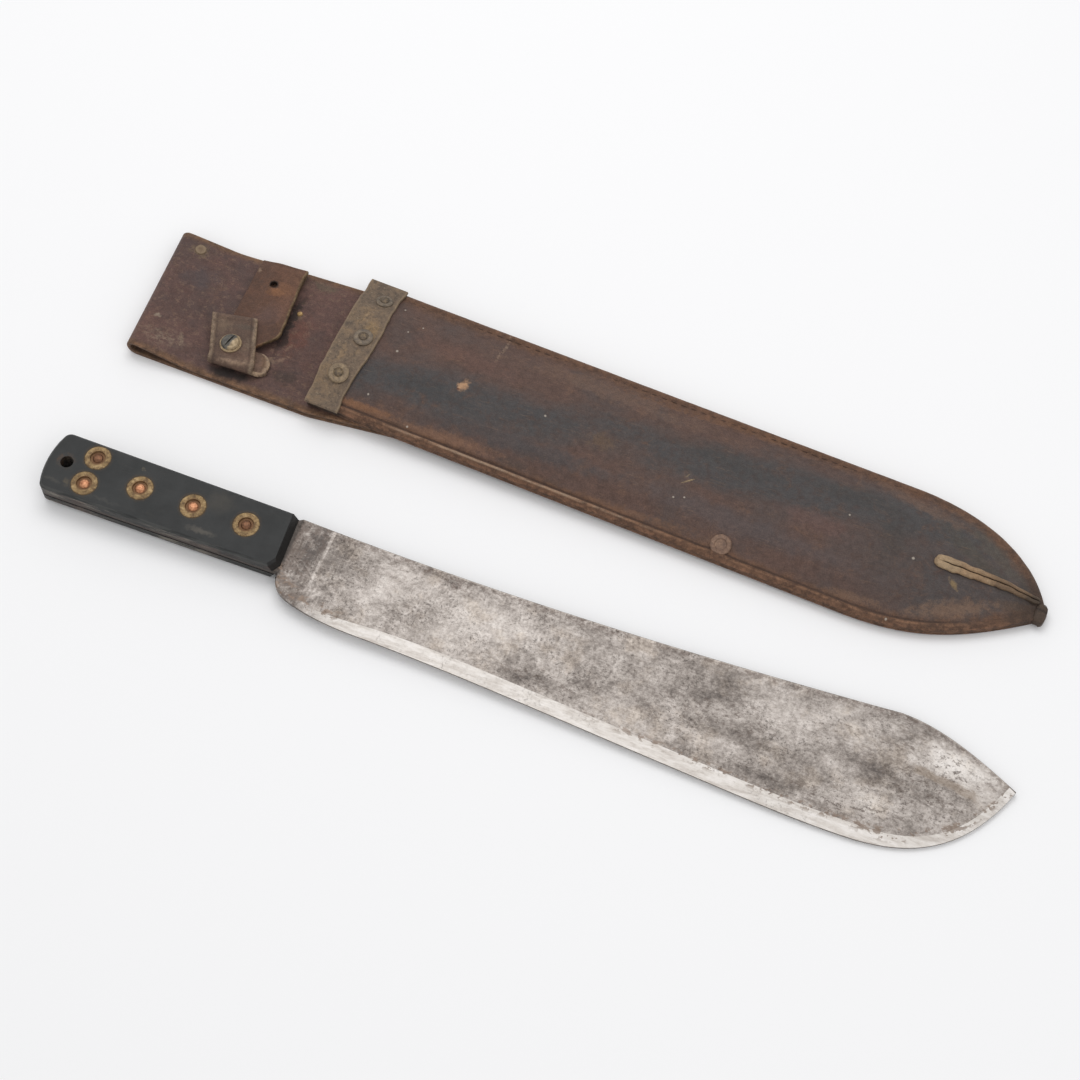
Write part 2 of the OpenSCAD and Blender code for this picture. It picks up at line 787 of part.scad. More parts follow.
module belt_loop() {
    color("saddlebrown")
    frame()
    difference() {
        intersection() {
            translate([loop_x, loop_near, 0])
            rotate([0, 0, loop_turn])
            translate([-loop_x, loop_w + loop_margin / 4, 0])
            rotate([90, 0, 0])
            linear_extrude(height = loop_w + loop_margin)
            polygon(loop_profile);
            translate([0, 0, -1])
            linear_extrude(height = 2 * loop_r + 2)
            polygon(loop_plan);
        }
        for (p = loop_rivets)
            translate([to_floor([p[0], p[1], 0])[0], to_floor([p[0], p[1], 0])[1], -1])
            cylinder(r = loop_rivet_hole, h = loop_top + 2, $fn = 32);
        on_corner()
        cylinder(r = small_hole, h = 2 * loop_t + 2, center = true, $fn = 24);
        translate([tack_spot[0], tack_spot[1], under_z - 0.1])
        cylinder(r = tack_hole, h = loop_t + 1, $fn = 24);
    }
}

// Hidden rivets through both layers of the loop and the rear panel
module loop_rivet(n) {
    c = to_floor([loop_rivets[n][0], loop_rivets[n][1], 0]);
    top = mouth_z - loop_rivets[n][0] * sin(pouch_pitch) + back_t - 0.05;
    color("peru")
    frame()
    translate([c[0], c[1], 0.05])
    cylinder(r = loop_rivet_r, h = top, $fn = 32);
}

// Rivet in the far corner of the loop, measured along the turned fold and square to the slope
corner_spot = [14.5, loop_w - 8.5];
corner_z = mix(2 * loop_r, loop_top, (corner_spot[0] - loop_r) / (loop_slope_len - loop_r));
corner_tilt = atan((2 * loop_r - loop_top) / (loop_slope_len - loop_r));
corner_r = 3.1;
small_hole = 1.3;
tack_spot = [-52.2, loop_near + 0.657 * loop_w];
tack_hole = 0.8;

module on_corner() {
    translate([loop_x, loop_near, 0])
    rotate([0, 0, loop_turn])
    translate([corner_spot[0], corner_spot[1], corner_z])
    rotate([0, corner_tilt, 0])
    children();
}

module corner_rivet() {
    color("goldenrod")
    frame()
    on_corner()
    rotate_extrude($fn = 32)
    polygon([
        [0, -loop_t + 0.2],
        [small_hole - 0.12, -loop_t + 0.2],
        [small_hole - 0.12, 0.06],
        [corner_r, 0.06],
        [0.9 * corner_r, 0.7],
        [0.55 * corner_r, 1],
        [0, 1.1]
    ]);
}

module loop_tack() {
    color("goldenrod")
    frame()
    translate([tack_spot[0], tack_spot[1], loop_top])
    rotate_extrude($fn = 24)
    polygon([
        [0, -loop_t + 0.4],
        [tack_hole - fit_clear, -loop_t + 0.4],
        [tack_hole - fit_clear, 0.03],
        [1.6, 0.03],
        [1.2, 0.6],
        [0, 0.8]
    ]);
}

// Heights of the strap and the tab above the loop
slip = 0.1;
strap_z = loop_top + flap_t + slip;
flap_z = strap_z + flap_t + slip;
fold_top = flap_z + flap_t;
fold_r = (fold_top - loop_top) / 2;
nose_r = 11;
strap_x1 = strap_x0 + strap_w;
shoulder_r = 8.5;
shoulder_out = 3;
shoulder_y = strap_end_y + 16;
toe_r = 8;
under_y = 126;

module strap_root() {
    color("sienna")
    frame() {
        translate([strap_x0 + 1.5, under_y, loop_top + no_wall])
        cube([strap_w - 0.2, strap_far_y - under_y, flap_t - no_wall]);
        translate([strap_x0, strap_hinge_y, loop_top + flap_t - eps])
        cube([strap_w, strap_far_y - strap_hinge_y, strap_z + flap_t - loop_top - flap_t]);
    }
}

// Free part of the strap, with its button hole
strap_hole_r = 2;

module strap() {
    color("sienna")
    frame()
    translate([0, 0, strap_z])
    difference() {
        linear_extrude(height = flap_t)
        hull() {
            translate([strap_x0, strap_hinge_y - slip - 4])
            square([strap_w, 4]);
            translate([strap_x0 + nose_r, strap_end_y + nose_r])
            circle(r = nose_r, $fn = 48);
            translate([strap_x1 - 12.5, strap_end_y + toe_r])
            circle(r = toe_r, $fn = 48);
            translate([strap_x1 + shoulder_out - shoulder_r, shoulder_y])
            circle(r = shoulder_r, $fn = 48);
        }
        translate([strap_x0 + 13, strap_hinge_y - 6.2, -1])
        cylinder(r = strap_hole_r, h = flap_t + 2, $fn = 32);
    }
}

// Fixed part of the tab: its sewn layer and the fold
root_x1 = tab_x0 + tab_w + 6;

module tab_root() {
    color("tan")
    frame() {
        translate([tab_x0 + 1.5, tab_hinge_y, loop_top + no_wall])
        cube([root_x1 - tab_x0 - 1.5, 11, flap_t - no_wall]);
        translate([tab_x0 + 1.5, tab_hinge_y, loop_top + fold_r])
        rotate([90, 0, 90])
        linear_extrude(height = tab_w + 1.5)
        difference() {
            circle(r = fold_r - no_wall, $fn = 48);
            circle(r = fold_r - flap_t, $fn = 48);
            translate([0, -fold_r - 1])
            square([fold_r + 2, 2 * fold_r + 2]);
        }
    }
}

stud_spot = [-76.2, 103.5];

module stud_tab() {
    color("tan")
    frame()
    translate([0, 0, flap_z])
    difference() {
        linear_extrude(height = flap_t)
        polygon([
            [tab_x0 + 0.5, tab_hinge_y + slip],
            [tab_x0 + tab_w, tab_hinge_y + slip],
            [tab_x0 + tab_w - 1.2 * tab_lean, tab_hinge_y + tab_len + 3.2],
            [tab_x0 + tab_w - 1.2 * tab_lean - 2, tab_hinge_y + tab_len + 4.2],
            [tab_x0 - tab_lean + 1, tab_hinge_y + tab_len],
            [tab_x0 - tab_lean, tab_hinge_y + tab_len - 1.5]
        ]);
        translate([stud_spot[0], stud_spot[1], -1])
        cylinder(r = stud_post_r + fit_clear, h = flap_t + 2, $fn = 32);
    }
}

stud_post_r = 1.8;
collar_t = 1;

module stud_collar() {
    color("goldenrod")
    frame()
    translate([stud_spot[0], stud_spot[1], fold_top + no_wall])
    rotate_extrude($fn = 48)
    polygon([
        [stud_post_r + fit_clear, 0],
        [collar_r, 0],
        [collar_r, collar_t - 0.4],
        [collar_r - 0.5, collar_t],
        [stud_post_r + fit_clear, collar_t]
    ]);
}

// Domed head of the stud with its slot
stud_h = 2;
slot_turn = 74;

module stud_head() {
    color("gray")
    frame()
    translate([stud_spot[0], stud_spot[1], fold_top + collar_t + 2 * no_wall])
    difference() {
        rotate_extrude($fn = 48)
        polygon([
            [0, -flap_t - collar_t + 0.2],
            [stud_post_r, -flap_t - collar_t + 0.2],
            [stud_post_r, 0],
            [stud_r, 0],
            [stud_r, 0.5],
            [0.86 * stud_r, 0.5 + 0.5 * stud_h],
            [0.6 * stud_r, 0.5 + 0.8 * stud_h],
            [0.3 * stud_r, 0.5 + 0.95 * stud_h],
            [0, 0.5 + stud_h]
        ]);
        rotate([0, 0, slot_turn])
        translate([-stud_r - 1, -slot_w / 2, 1.3])
        cube([2 * stud_r + 2, slot_w, stud_h]);
    }
}

blade();
scale_top();
scale_bottom();
rivet(0);  // rivet_1
rivet(1);  // rivet_2
rivet(2);  // rivet_3
rivet(3);  // rivet_4
rivet(4);  // rivet_5
washer_top(0);  // washer_top_1
washer_top(1);  // washer_top_2
washer_top(2);  // washer_top_3
washer_top(3);  // washer_top_4
washer_top(4);  // washer_top_5
washer_bottom(0);  // washer_bottom_1
washer_bottom(1);  // washer_bottom_2
washer_bottom(2);  // washer_bottom_3
washer_bottom(3);  // washer_bottom_4
washer_bottom(4);  // washer_bottom_5
sheath_back();
sheath_front();
welt_near();
welt_far();
edge_stitching();
tip_seam();
tip_cap();
mouth_band();
mouth_rivet(0);  // mouth_rivet_1
mouth_rivet(1);  // mouth_rivet_2
mouth_rivet(2);  // mouth_rivet_3
mouth_washer(0);  // mouth_washer_1
mouth_washer(1);  // mouth_washer_2
mouth_washer(2);  // mouth_washer_3
side_rivet();
belt_loop();
loop_rivet(0);  // loop_rivet_1
loop_rivet(1);  // loop_rivet_2
loop_rivet(2);  // loop_rivet_3
corner_rivet();
loop_tack();
strap_root();
tab_root();
strap();
stud_tab();
stud_collar();
stud_head();
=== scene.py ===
from math import cos, exp, hypot, pi, radians, sin, sqrt, tan
import bmesh
import bpy
import numpy as np
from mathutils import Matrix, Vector, noise


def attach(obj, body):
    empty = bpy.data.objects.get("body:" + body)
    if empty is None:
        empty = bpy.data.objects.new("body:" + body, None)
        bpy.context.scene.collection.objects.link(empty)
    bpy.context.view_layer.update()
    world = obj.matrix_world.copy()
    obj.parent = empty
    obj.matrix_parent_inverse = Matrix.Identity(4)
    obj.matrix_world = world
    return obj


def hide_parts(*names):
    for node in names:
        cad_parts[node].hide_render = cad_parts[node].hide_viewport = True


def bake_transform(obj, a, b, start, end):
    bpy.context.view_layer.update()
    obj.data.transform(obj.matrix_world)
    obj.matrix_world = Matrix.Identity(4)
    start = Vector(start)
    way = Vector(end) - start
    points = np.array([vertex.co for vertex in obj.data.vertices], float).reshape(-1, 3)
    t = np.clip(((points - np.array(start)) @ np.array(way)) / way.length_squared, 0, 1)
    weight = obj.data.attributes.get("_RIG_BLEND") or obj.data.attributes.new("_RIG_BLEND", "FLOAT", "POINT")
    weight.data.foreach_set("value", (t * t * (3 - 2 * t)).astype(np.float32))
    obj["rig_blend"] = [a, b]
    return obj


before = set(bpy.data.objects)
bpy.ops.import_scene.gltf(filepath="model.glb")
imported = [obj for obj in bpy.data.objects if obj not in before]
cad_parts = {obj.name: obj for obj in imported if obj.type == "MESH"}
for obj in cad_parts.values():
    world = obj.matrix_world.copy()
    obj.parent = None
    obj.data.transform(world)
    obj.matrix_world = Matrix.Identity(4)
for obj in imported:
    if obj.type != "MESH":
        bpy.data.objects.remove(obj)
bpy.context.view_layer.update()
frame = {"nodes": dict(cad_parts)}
nodes = frame["nodes"]

# Sizes in millimetres, the same as in the part's source
MID_X, MID_Y = 121.83, 59.3395
BLADE_LEN, BLADE_W = 377.4, 70.2
GRIP_FAR_FRONT, GRIP_NEAR_FRONT = 18.2, 14.0
MOUTH_X, MOUTH_Y, MOUTH_Z = -24.5, 126.8, 5.43529
YAW, PITCH = radians(-4.07), radians(0.794463)
POUCH_LEN, POUCH_HALF = 392.0, 41.2
FRONT_Z, FRONT_T = 4.2, 2.4
WELT_W, DOME_H, CROWN, DOME_RUN = 4.5, 3.8, 1.0, 17.0
MOUTH_SKEW, SKEW_RUN, ROUND_START, REAR_MID_Z = 2.5, 25.0, POUCH_LEN - 96, 1.3
BAND_W, BAND_T, BAND_OVER = 21.5, 1.8, 1.6
LOOP_X, LOOP_T, LOOP_GAP, LOOP_NEAR, LOOP_W = -131.0, 2.4, 6.0, 87.5, 77.8
LOOP_TURN, LOOP_SLOPE = radians(2), 35.0
LOOP_TOP = MOUTH_Z - 0.1
FLAP_T, SLIP = 2.4, 0.1
STRAP_X0, STRAP_W, STRAP_END, STRAP_HINGE, STRAP_FAR = -84.5, 27.0, 104.9, 155.0, 163.2
STRAP_X1 = STRAP_X0 + STRAP_W
TAB_HINGE, TAB_X0, TAB_W, TAB_LEN, TAB_LEAN = 95.0, -85.5, 26.5, 24.5, 8.5
STRAP_Z = LOOP_TOP + FLAP_T + SLIP
FLAP_Z = STRAP_Z + FLAP_T + SLIP
FOLD_TOP = FLAP_Z + FLAP_T
FOLD_R = (FOLD_TOP - LOOP_TOP) / 2
BLADE_MID_Z, TILT = 7.32992, (0.0146426, -0.0190653, 0.999711)
STUD = (-76.2, 103.5)
MM = 0.001


def linear(tone):
    """Scene colour of a screen tone, given as red, green and blue up to 255."""
    shares = [v / 255 for v in tone]
    return tuple(v / 12.92 if v <= 0.04045 else ((v + 0.055) / 1.055) ** 2.4 for v in shares) + (1.0,)


def times(tone, k):
    return tuple(min(1, k * v) for v in linear(tone)[:3]) + (1.0,)


def smooth(v):
    v = min(1, max(0, v))
    return v * v * (3 - 2 * v)


def mix(a, b, t):
    return a + (b - a) * t


def at(x, y, z):
    """Point measured from the handle's front, in the row frame."""
    return np.array([x - MID_X, y - MID_Y, z])


def pouch(s, y, z):
    """Point of the pouch's own frame, in the row frame."""
    x = s * cos(PITCH) + z * sin(PITCH)
    up = -s * sin(PITCH) + z * cos(PITCH)
    return at(MOUTH_X + x * cos(YAW) - y * sin(YAW), MOUTH_Y + x * sin(YAW) + y * cos(YAW), MOUTH_Z + up)


# Materials


def operator(name, swap=False):
    """Method that adds a math node for a sum, a product or the like."""
    def apply(self, other=0.0):
        return self.nodes.m(name, other, self) if swap else self.nodes.m(name, self, other)
    return apply


class Value:
    """Output of a node, for arithmetic with other outputs and numbers."""

    def __init__(self, nodes, socket):
        self.nodes = nodes
        self.socket = socket

    __add__, __radd__ = operator("ADD"), operator("ADD", True)
    __sub__, __rsub__ = operator("SUBTRACT"), operator("SUBTRACT", True)
    __mul__, __rmul__ = operator("MULTIPLY"), operator("MULTIPLY", True)
    __truediv__ = operator("DIVIDE")
    __abs__ = operator("ABSOLUTE")


class Nodes:
    """Builds a material's nodes; color is the tone painted so far."""

    def __init__(self, name):
        self.mat = bpy.data.materials.new(name)
        self.mat.use_nodes = True
        self.tree = self.mat.node_tree
        self.bsdf = self.tree.nodes["Principled BSDF"]
        self.color = None

    def put(self, socket, value):
        """Link or set an input. Three numbers for a colour are a screen tone."""
        if isinstance(value, Value):
            self.tree.links.new(value.socket, socket)
            return
        if isinstance(value, tuple) and len(value) == 3 and len(socket.default_value) == 4:
            value = linear(value)
        socket.default_value = value

    def node(self, kind, inputs, out=0, **props):
        n = self.tree.nodes.new(kind)
        for k, v in props.items():
            setattr(n, k, v)
        for k, v in (inputs.items() if isinstance(inputs, dict) else enumerate(inputs)):
            self.put(n.inputs[k], v)
        return Value(self, n.outputs[out])

    def local(self):
        """Place on a piece of the frame, in millimetres."""
        return self.shift(self.node("ShaderNodeTexCoord", (), "Object"), scale=(1000, 1000, 1000))

    def millimetres(self, z=0.0):
        """The same, measured from the handle's front."""
        return self.shift(self.local(), move=(MID_X, MID_Y, z))

    def attr(self, name, vector=False):
        return self.node("ShaderNodeAttribute", (), "Vector" if vector else "Fac", attribute_name=name)

    def shift(self, vec, move=(0, 0, 0), turn=(0, 0, 0), scale=(1, 1, 1), kind="POINT"):
        inputs = {"Vector": vec, "Location": move, "Rotation": turn, "Scale": scale}
        return self.node("ShaderNodeMapping", inputs, vector_type=kind)

    def noise(self, vec, scale, detail=4, rough=0.55, distort=0.0, move=None, turn=None, stretch=None):
        if move or turn or stretch:
            vec = self.shift(vec, move or (0, 0, 0), turn or (0, 0, 0), stretch or (1, 1, 1))
        inputs = {"Vector": vec, "Scale": scale, "Detail": detail, "Roughness": rough,
            "Distortion": distort}
        return self.node("ShaderNodeTexNoise", inputs)

    def m(self, op, a, b=0.0, clamp=False):
        return self.node("ShaderNodeMath", (a, b), operation=op, use_clamp=clamp)

    def most(self, a, b):
        return self.m("MAXIMUM", a, b)

    def step(self, v, low, high, smoothed=True):
        kind = "SMOOTHSTEP" if smoothed else "LINEAR"
        return self.node("ShaderNodeMapRange", (v, low, high, 0.0, 1.0), interpolation_type=kind)

    def patches(self, vec, low, high, *look, **place):
        """Noise made harder: 0 where it's under low, 1 over high."""
        return self.step(self.noise(vec, *look, **place), low, high)

    def fall(self, v, low, high, smoothed=True):
        return 1 - self.step(v, low, high, smoothed)

    def line(self, v, middle, inner, outer):
        """1 where v is within inner of middle, 0 from outer on."""
        return self.fall(abs(v - middle), inner, outer)

    def mixc(self, fac, a, b, mode="MIX"):
        inputs = {0: fac, 6: a, 7: b}
        return self.node("ShaderNodeMix", inputs, 2, data_type="RGBA", blend_type=mode, clamp_factor=True)

    def paint(self, fac, tone, mode="MIX"):
        self.color = self.mixc(fac, self.color, tone, mode)

    def ramp(self, fac, *stops):
        out = self.node("ShaderNodeValToRGB", (fac,))
        e = out.socket.node.color_ramp.elements
        while len(e) < len(stops):
            e.new(0.5)
        for i, (p, c) in enumerate(stops):
            e[i].position = p
            e[i].color = linear(c)
        return out

    def split(self, vec):
        sockets = self.node("ShaderNodeSeparateXYZ", (vec,)).socket.node.outputs
        return [Value(self, v) for v in sockets]

    def join(self, x, y, z=0.0):
        return self.node("ShaderNodeCombineXYZ", (x, y, z))

    def far(self, vec, spot=(0, 0, 0)):
        return self.node("ShaderNodeVectorMath", (vec, spot), "Value", operation="DISTANCE")

    def dot(self, vec, other):
        return self.node("ShaderNodeVectorMath", (vec, other), "Value", operation="DOT_PRODUCT")

    def blot(self, vec, place, size, turn=0.0, rag=0.5, fine=0.25, inner=0.25, outer=1.05):
        """Mask of a ragged spot with the half lengths size, turned by turn degrees."""
        turn = (0, 0, radians(turn))
        d = self.far(self.shift(vec, tuple(place), turn, (size[0], size[1], 1000.0), "TEXTURE"))
        return self.fall(d + (self.noise(vec, fine, 5, 0.7) - 0.5) * (4 * rag), inner, outer)

    def zone(self, vec, place, size, low=0.2, high=1.1):
        """Soft oval mask in the plane of x and y."""
        q = self.shift(vec, (place[0], place[1], 0), scale=(size[0], size[1], 100000.0), kind="TEXTURE")
        return self.fall(self.far(q), low, high)

    def warp(self, vec, x, y, scale, by_x, by_y):
        """Place pushed about by noise, for zones with a ragged outline."""
        a = (self.noise(vec, scale, 5, 0.7) - 0.5) * by_x
        b = (self.noise(vec, scale, 5, 0.7, move=(31, 17, 0)) - 0.5) * by_y
        return self.join(x + a, y + b)

    def curve(self, x, points):
        out = self.node("ShaderNodeFloatCurve", {"Value": x})
        mapping = out.socket.node.mapping
        c = mapping.curves[0]
        while len(c.points) < len(points):
            c.points.new(0.5, 0.5)
        for p, q in zip(c.points, points):
            p.location = q
            p.handle_type = "AUTO"
        mapping.update()
        return out

    def finish(self, rough, metal=0.0, height=None, depth=0.0003, strength=1.0, **fixed):
        fixed = {k.replace("_", " "): v for k, v in fixed.items()}
        for k, v in {"Base Color": self.color, "Roughness": rough, "Metallic": metal, **fixed}.items():
            self.put(self.bsdf.inputs[k], v)
        if height is not None:
            bump = self.node("ShaderNodeBump", {"Height": height, "Strength": strength, "Distance": depth})
            self.put(self.bsdf.inputs["Normal"], bump)
        return self.mat


def leather_edge(n, along, edge, edge_w):
    """Lighter, ragged edge with a bright rim."""
    e = n.attr("edge")
    ragged = e + (n.noise(along, 0.13, 5, 0.7) - 0.5) * (1.6 * edge_w)
    lit = n.fall(ragged, edge_w * 0.3, edge_w * 1.35)
    shade = n.noise(along, 0.3, 6, 0.75)
    rim_color = n.mixc(n.step(shade, 0.35, 0.65), times(edge, 0.5), edge)
    n.paint(lit * 0.8, rim_color)
    rim = n.fall(e, 0.2, 1.4)
    n.paint(rim * (n.step(shade, 0.42, 0.6) * 0.4), times(edge, 1.7))
    return e, lit, shade


def leather_scratches(n, rest, amount):
    """Thin scratches in two directions, where a coarse noise lets them."""
    scratch = None
    for turn, stretch, seed in ((0.35, 40, 3.1), (-1.0, 26, 7.7)):
        v = n.shift(rest, move=(seed * 40, 0, 0), turn=(0, 0, turn), scale=(1 / stretch, 1, 1))
        line = n.line(n.noise(v, 0.8, 1, 0.5), 0.5, 0.003, 0.02)
        gate = n.patches(rest, 0.5, 0.7, 0.06, 3, move=(seed * 11, seed, 0))
        one = line * gate
        scratch = one if scratch is None else n.most(scratch, one)
    n.paint(scratch * amount, (142, 112, 88))
    return scratch


def leather(name, dark, brown, edge, worn=0.3, stripe=None, edge_w=9.0, blots=(), specks=(), scratches=0.2,
        extra=None):
    """Old leather: two tones in clouds, a lighter edge, spots, specks, scratches and grain, and grime and
    painted shade where the mesh marks them.
    """
    n = Nodes(name)
    rest = n.attr("rest", True)
    along = n.shift(rest, scale=(0.8, 1, 1))
    cloud = n.noise(along, 0.035, 5, 0.6, 0.4)
    tone = n.step(cloud, 0.3, 0.7)
    if stripe is not None:
        tone = n.m("MULTIPLY", 1 - stripe(n), 0.5 + tone * 0.7, True)
    n.color = n.mixc(tone, dark, brown)
    mottle = n.noise(rest, 0.22, 6, 0.72)
    n.paint(n.step(mottle, 0.45, 0.66) * 0.5, times(brown, 0.68))
    rub = n.noise(along, 0.1, 7, 0.78, 0.8)
    n.paint(n.step(rub, 0.52, 0.72) * worn, edge)
    for place, size, turn, shade, amount, rag in blots:
        n.paint(n.blot(rest, place, size, turn, rag, 1.2 / max(1.0, min(size))) * amount, shade)
    e, lit, shade = leather_edge(n, along, edge, edge_w)
    if extra is not None:
        extra(n, rest, e, shade)
    dirt = n.attr("dirt")
    # painted shade under sheets, in gaps, holes and creases, with some grime, where the mesh marks it
    n.paint(dirt * 0.88, (34, 26, 22))
    scratch = leather_scratches(n, rest, scratches)
    streak = n.noise(rest, 0.4, 6, 0.75, stretch=(0.75, 1, 1))
    shade = n.mixc(n.step(streak, 0.32, 0.68), (0.66, 0.66, 0.67, 1), (1.26, 1.25, 1.23, 1))
    n.paint(0.5, shade, "MULTIPLY")
    grain = n.noise(rest, 1.5, 4, 0.75)
    shade = n.mixc(n.step(grain, 0.3, 0.7), (0.62, 0.62, 0.62, 1), (1.3, 1.3, 1.3, 1))
    n.paint(0.6, shade, "MULTIPLY")
    for place, size in specks:
        n.paint(n.blot(rest, place, (size, size), 0, 0.15, 0.9, 0.4, 1.0) * 0.65, (190, 180, 166))
    pores = n.node("ShaderNodeTexVoronoi", {"Vector": rest, "Scale": 1.5}, feature="DISTANCE_TO_EDGE")
    crease = n.noise(rest, 0.45, 3, 0.6, 1.5, stretch=(1, 0.5, 1))
    height = n.step(pores, 0.0, 0.12) * 0.4 + grain * 0.6
    height = height + crease * 0.9
    height = height - scratch * 0.5
    rough = 0.5 + mottle * 0.25
    rough = rough + lit * 0.08
    return n.finish(rough, 0.0, height, 0.00018, 0.8, Specular_IOR_Level=0.3)


# Meshes


def mesh(name, points, faces, attrs, body, material, replaces=()):
    """Closed mesh from points in millimetres, with its rest place kept for the material."""
    points = np.asarray(points, float)
    me = bpy.data.meshes.new(name)
    me.from_pydata([tuple(p) for p in points * MM], [], faces)
    me.validate()
    for p in me.polygons:
        p.use_smooth = True
    a = me.attributes.new("rest", "FLOAT_VECTOR", "POINT")
    a.data.foreach_set("vector", points.astype(np.float32).ravel())
    for k in ("edge", "s", "y", "dirt"):
        v = attrs.get(k, np.zeros(len(points)))
        me.attributes.new(k, "FLOAT", "POINT").data.foreach_set("value", np.asarray(v, np.float32))
    o = bpy.data.objects.new(name, me)
    bpy.context.scene.collection.objects.link(o)
    me.materials.append(material)
    if body:
        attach(o, body)
    if replaces:
        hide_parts(*replaces)
    return o


def wave(x, y, z):
    return noise.noise(Vector((x, y, z)))


def hump(d, middle, width):
    return exp(-((d - middle) / width) ** 2)


def circle(count):
    """Cosine and sine of count even turns."""
    return [(cos(2 * pi * j / count), sin(2 * pi * j / count)) for j in range(count)]


def half_turn(count):
    """Share, cosine and sine of count steps from the bottom of a fold to its top."""
    return [((270 - a) / 180, cos(radians(a)), sin(radians(a))) for a in np.linspace(270, 90, count)]


def boxed(v, power):
    """v made squarer, with its sign."""
    return abs(v) ** power * (1 if v > 0 else -1)


def waves(p, amp, scale, seed):
    return amp * wave(p[0] / scale + seed, p[1] / scale - seed, p[2] / scale + 0.37 * seed)


def tube_faces(rows, k, base=0, flip=False):
    """Faces between rows of k points each, from the point base on, with both ends closed."""
    faces = []
    for i in range(rows - 1):
        for j in range(k):
            a, b = base + i * k + j, base + i * k + (j + 1) % k
            faces.append((a, a + k, b + k, b) if flip else (a, b, b + k, a + k))
    first = tuple(range(base, base + k))
    last = tuple(range(base + (rows - 1) * k, base + rows * k))
    return faces + ([first, last[::-1]] if flip else [first[::-1], last])


def sheet(name, left, right, normal, body, material, t=2.4, n=24, r=0.7, bow=None, amp=0.25, seed=0.0,
        replaces=(), soft_side=False):
    """Leather sheet from rows of left and right points, t thick, with n points across and edges rounded
    by r. bow(i, u) lifts a point of row i at the share u of the width, and amp is how wavy it is."""
    left, right, normal = (np.asarray(v, float) for v in (left, right, normal))
    middle = (left + right) / 2
    tangent = np.gradient(middle, axis=0)
    tangent /= np.linalg.norm(tangent, axis=1)[:, None]
    last = len(left) - 1
    turns = (1.57, 1.05, 0.5)
    plan = [(0, -r * sin(a), r * (1 - cos(a))) for a in turns]
    plan += [(i, 0.0, 0.0) for i in range(len(left))]
    plan += [(last, r * sin(a), r * (1 - cos(a))) for a in turns[::-1]]
    shares = (1 - np.cos(np.linspace(0, pi, n))) / 2 * 0.35 + np.linspace(0, 1, n) * 0.65
    points, edge, dirt = [], [], []
    for i, push, thin in plan:
        e = right[i] - left[i]
        w = np.linalg.norm(e)
        e = e / w
        h = t / 2 - thin
        round_r = max(0.05, min(r, h))
        turn = [(round_r * sin(a * pi / 3), h - round_r + round_r * cos(a * pi / 3)) for a in (0.5, 1.0)]
        ring = [(round_r + u * (w - 2 * round_r), h) for u in shares]
        ring += [(w - round_r + x, z) for x, z in turn] + [(w - round_r + x, -z) for x, z in turn[::-1]]
        ring += [(round_r + u * (w - 2 * round_r), -h) for u in shares[::-1]]
        ring += [(round_r - x, -z) for x, z in turn] + [(round_r - x, z) for x, z in turn[::-1]]
        for x, z in ring:
            x2 = min(max(x, thin * 0.6), w - thin * 0.6)
            lift = bow(i, x / w) if bow else 0.0
            p = left[i] + e * x2 + normal[i] * (z + lift) + tangent[i] * push
            far = min(x + (12 if soft_side else 0), w - x)
            if amp:
                fade = min(1.0, min(x, w - x) / 3 + 0.35)
                p = p + normal[i] * fade * (waves(p, amp, 17, seed) + waves(p, amp * 0.5, 6, seed + 5))
            points.append(p)
            edge.append(far)
            # the lower half of each ring is marked for painted shade under the sheet
            dirt.append(0.35 if z < -h * 0.5 else 0.0)
    attrs = {"edge": edge, "dirt": dirt}
    o = mesh(name, points, tube_faces(len(plan), len(ring)), attrs, body, material, replaces)
    for p in o.data.polygons:
        if len(p.vertices) > 4:
            p.use_smooth = False
    return o


# Leather tones

DARK = (69, 66, 66)
BROWN = (90, 69, 61)
RED = (92, 66, 58)
ORANGE = (118, 86, 65)


def stripe(n):
    """Dark stripe that runs along the pouch and drifts to the far side, and the dark tip."""
    s, y = n.attr("s"), n.attr("y")
    middle = -20.0 + s * 0.125
    sway = (n.noise(n.attr("rest", True), 0.06, 5, 0.65, stretch=(0.5, 1, 1)) - 0.5) * 26.0
    d = abs(y - middle + sway)
    line = n.fall(d, 4.0, 19.0)
    line = line * (1 - n.blot(n.join(s, y), (165, -6, 0), (34, 16), 0, 0.5, 0.1) * 0.55)
    tip = n.step(s + sway * 0.8, 296.0, 345.0) * 0.75
    return n.most(line, tip)


def spot(s, y, w, h, turn, shade, amount, rag=0.4, z=12):
    """Ragged spot on the pouch, w and h to each side."""
    return (pouch(s, y, z), (w, h), turn, shade, amount, rag)


def mark(x, y, z, w, h, turn, shade, amount, rag):
    """The same on the loop and the flaps, measured from the handle's front."""
    return (at(x, y, z), (w, h), turn, shade, amount, rag)


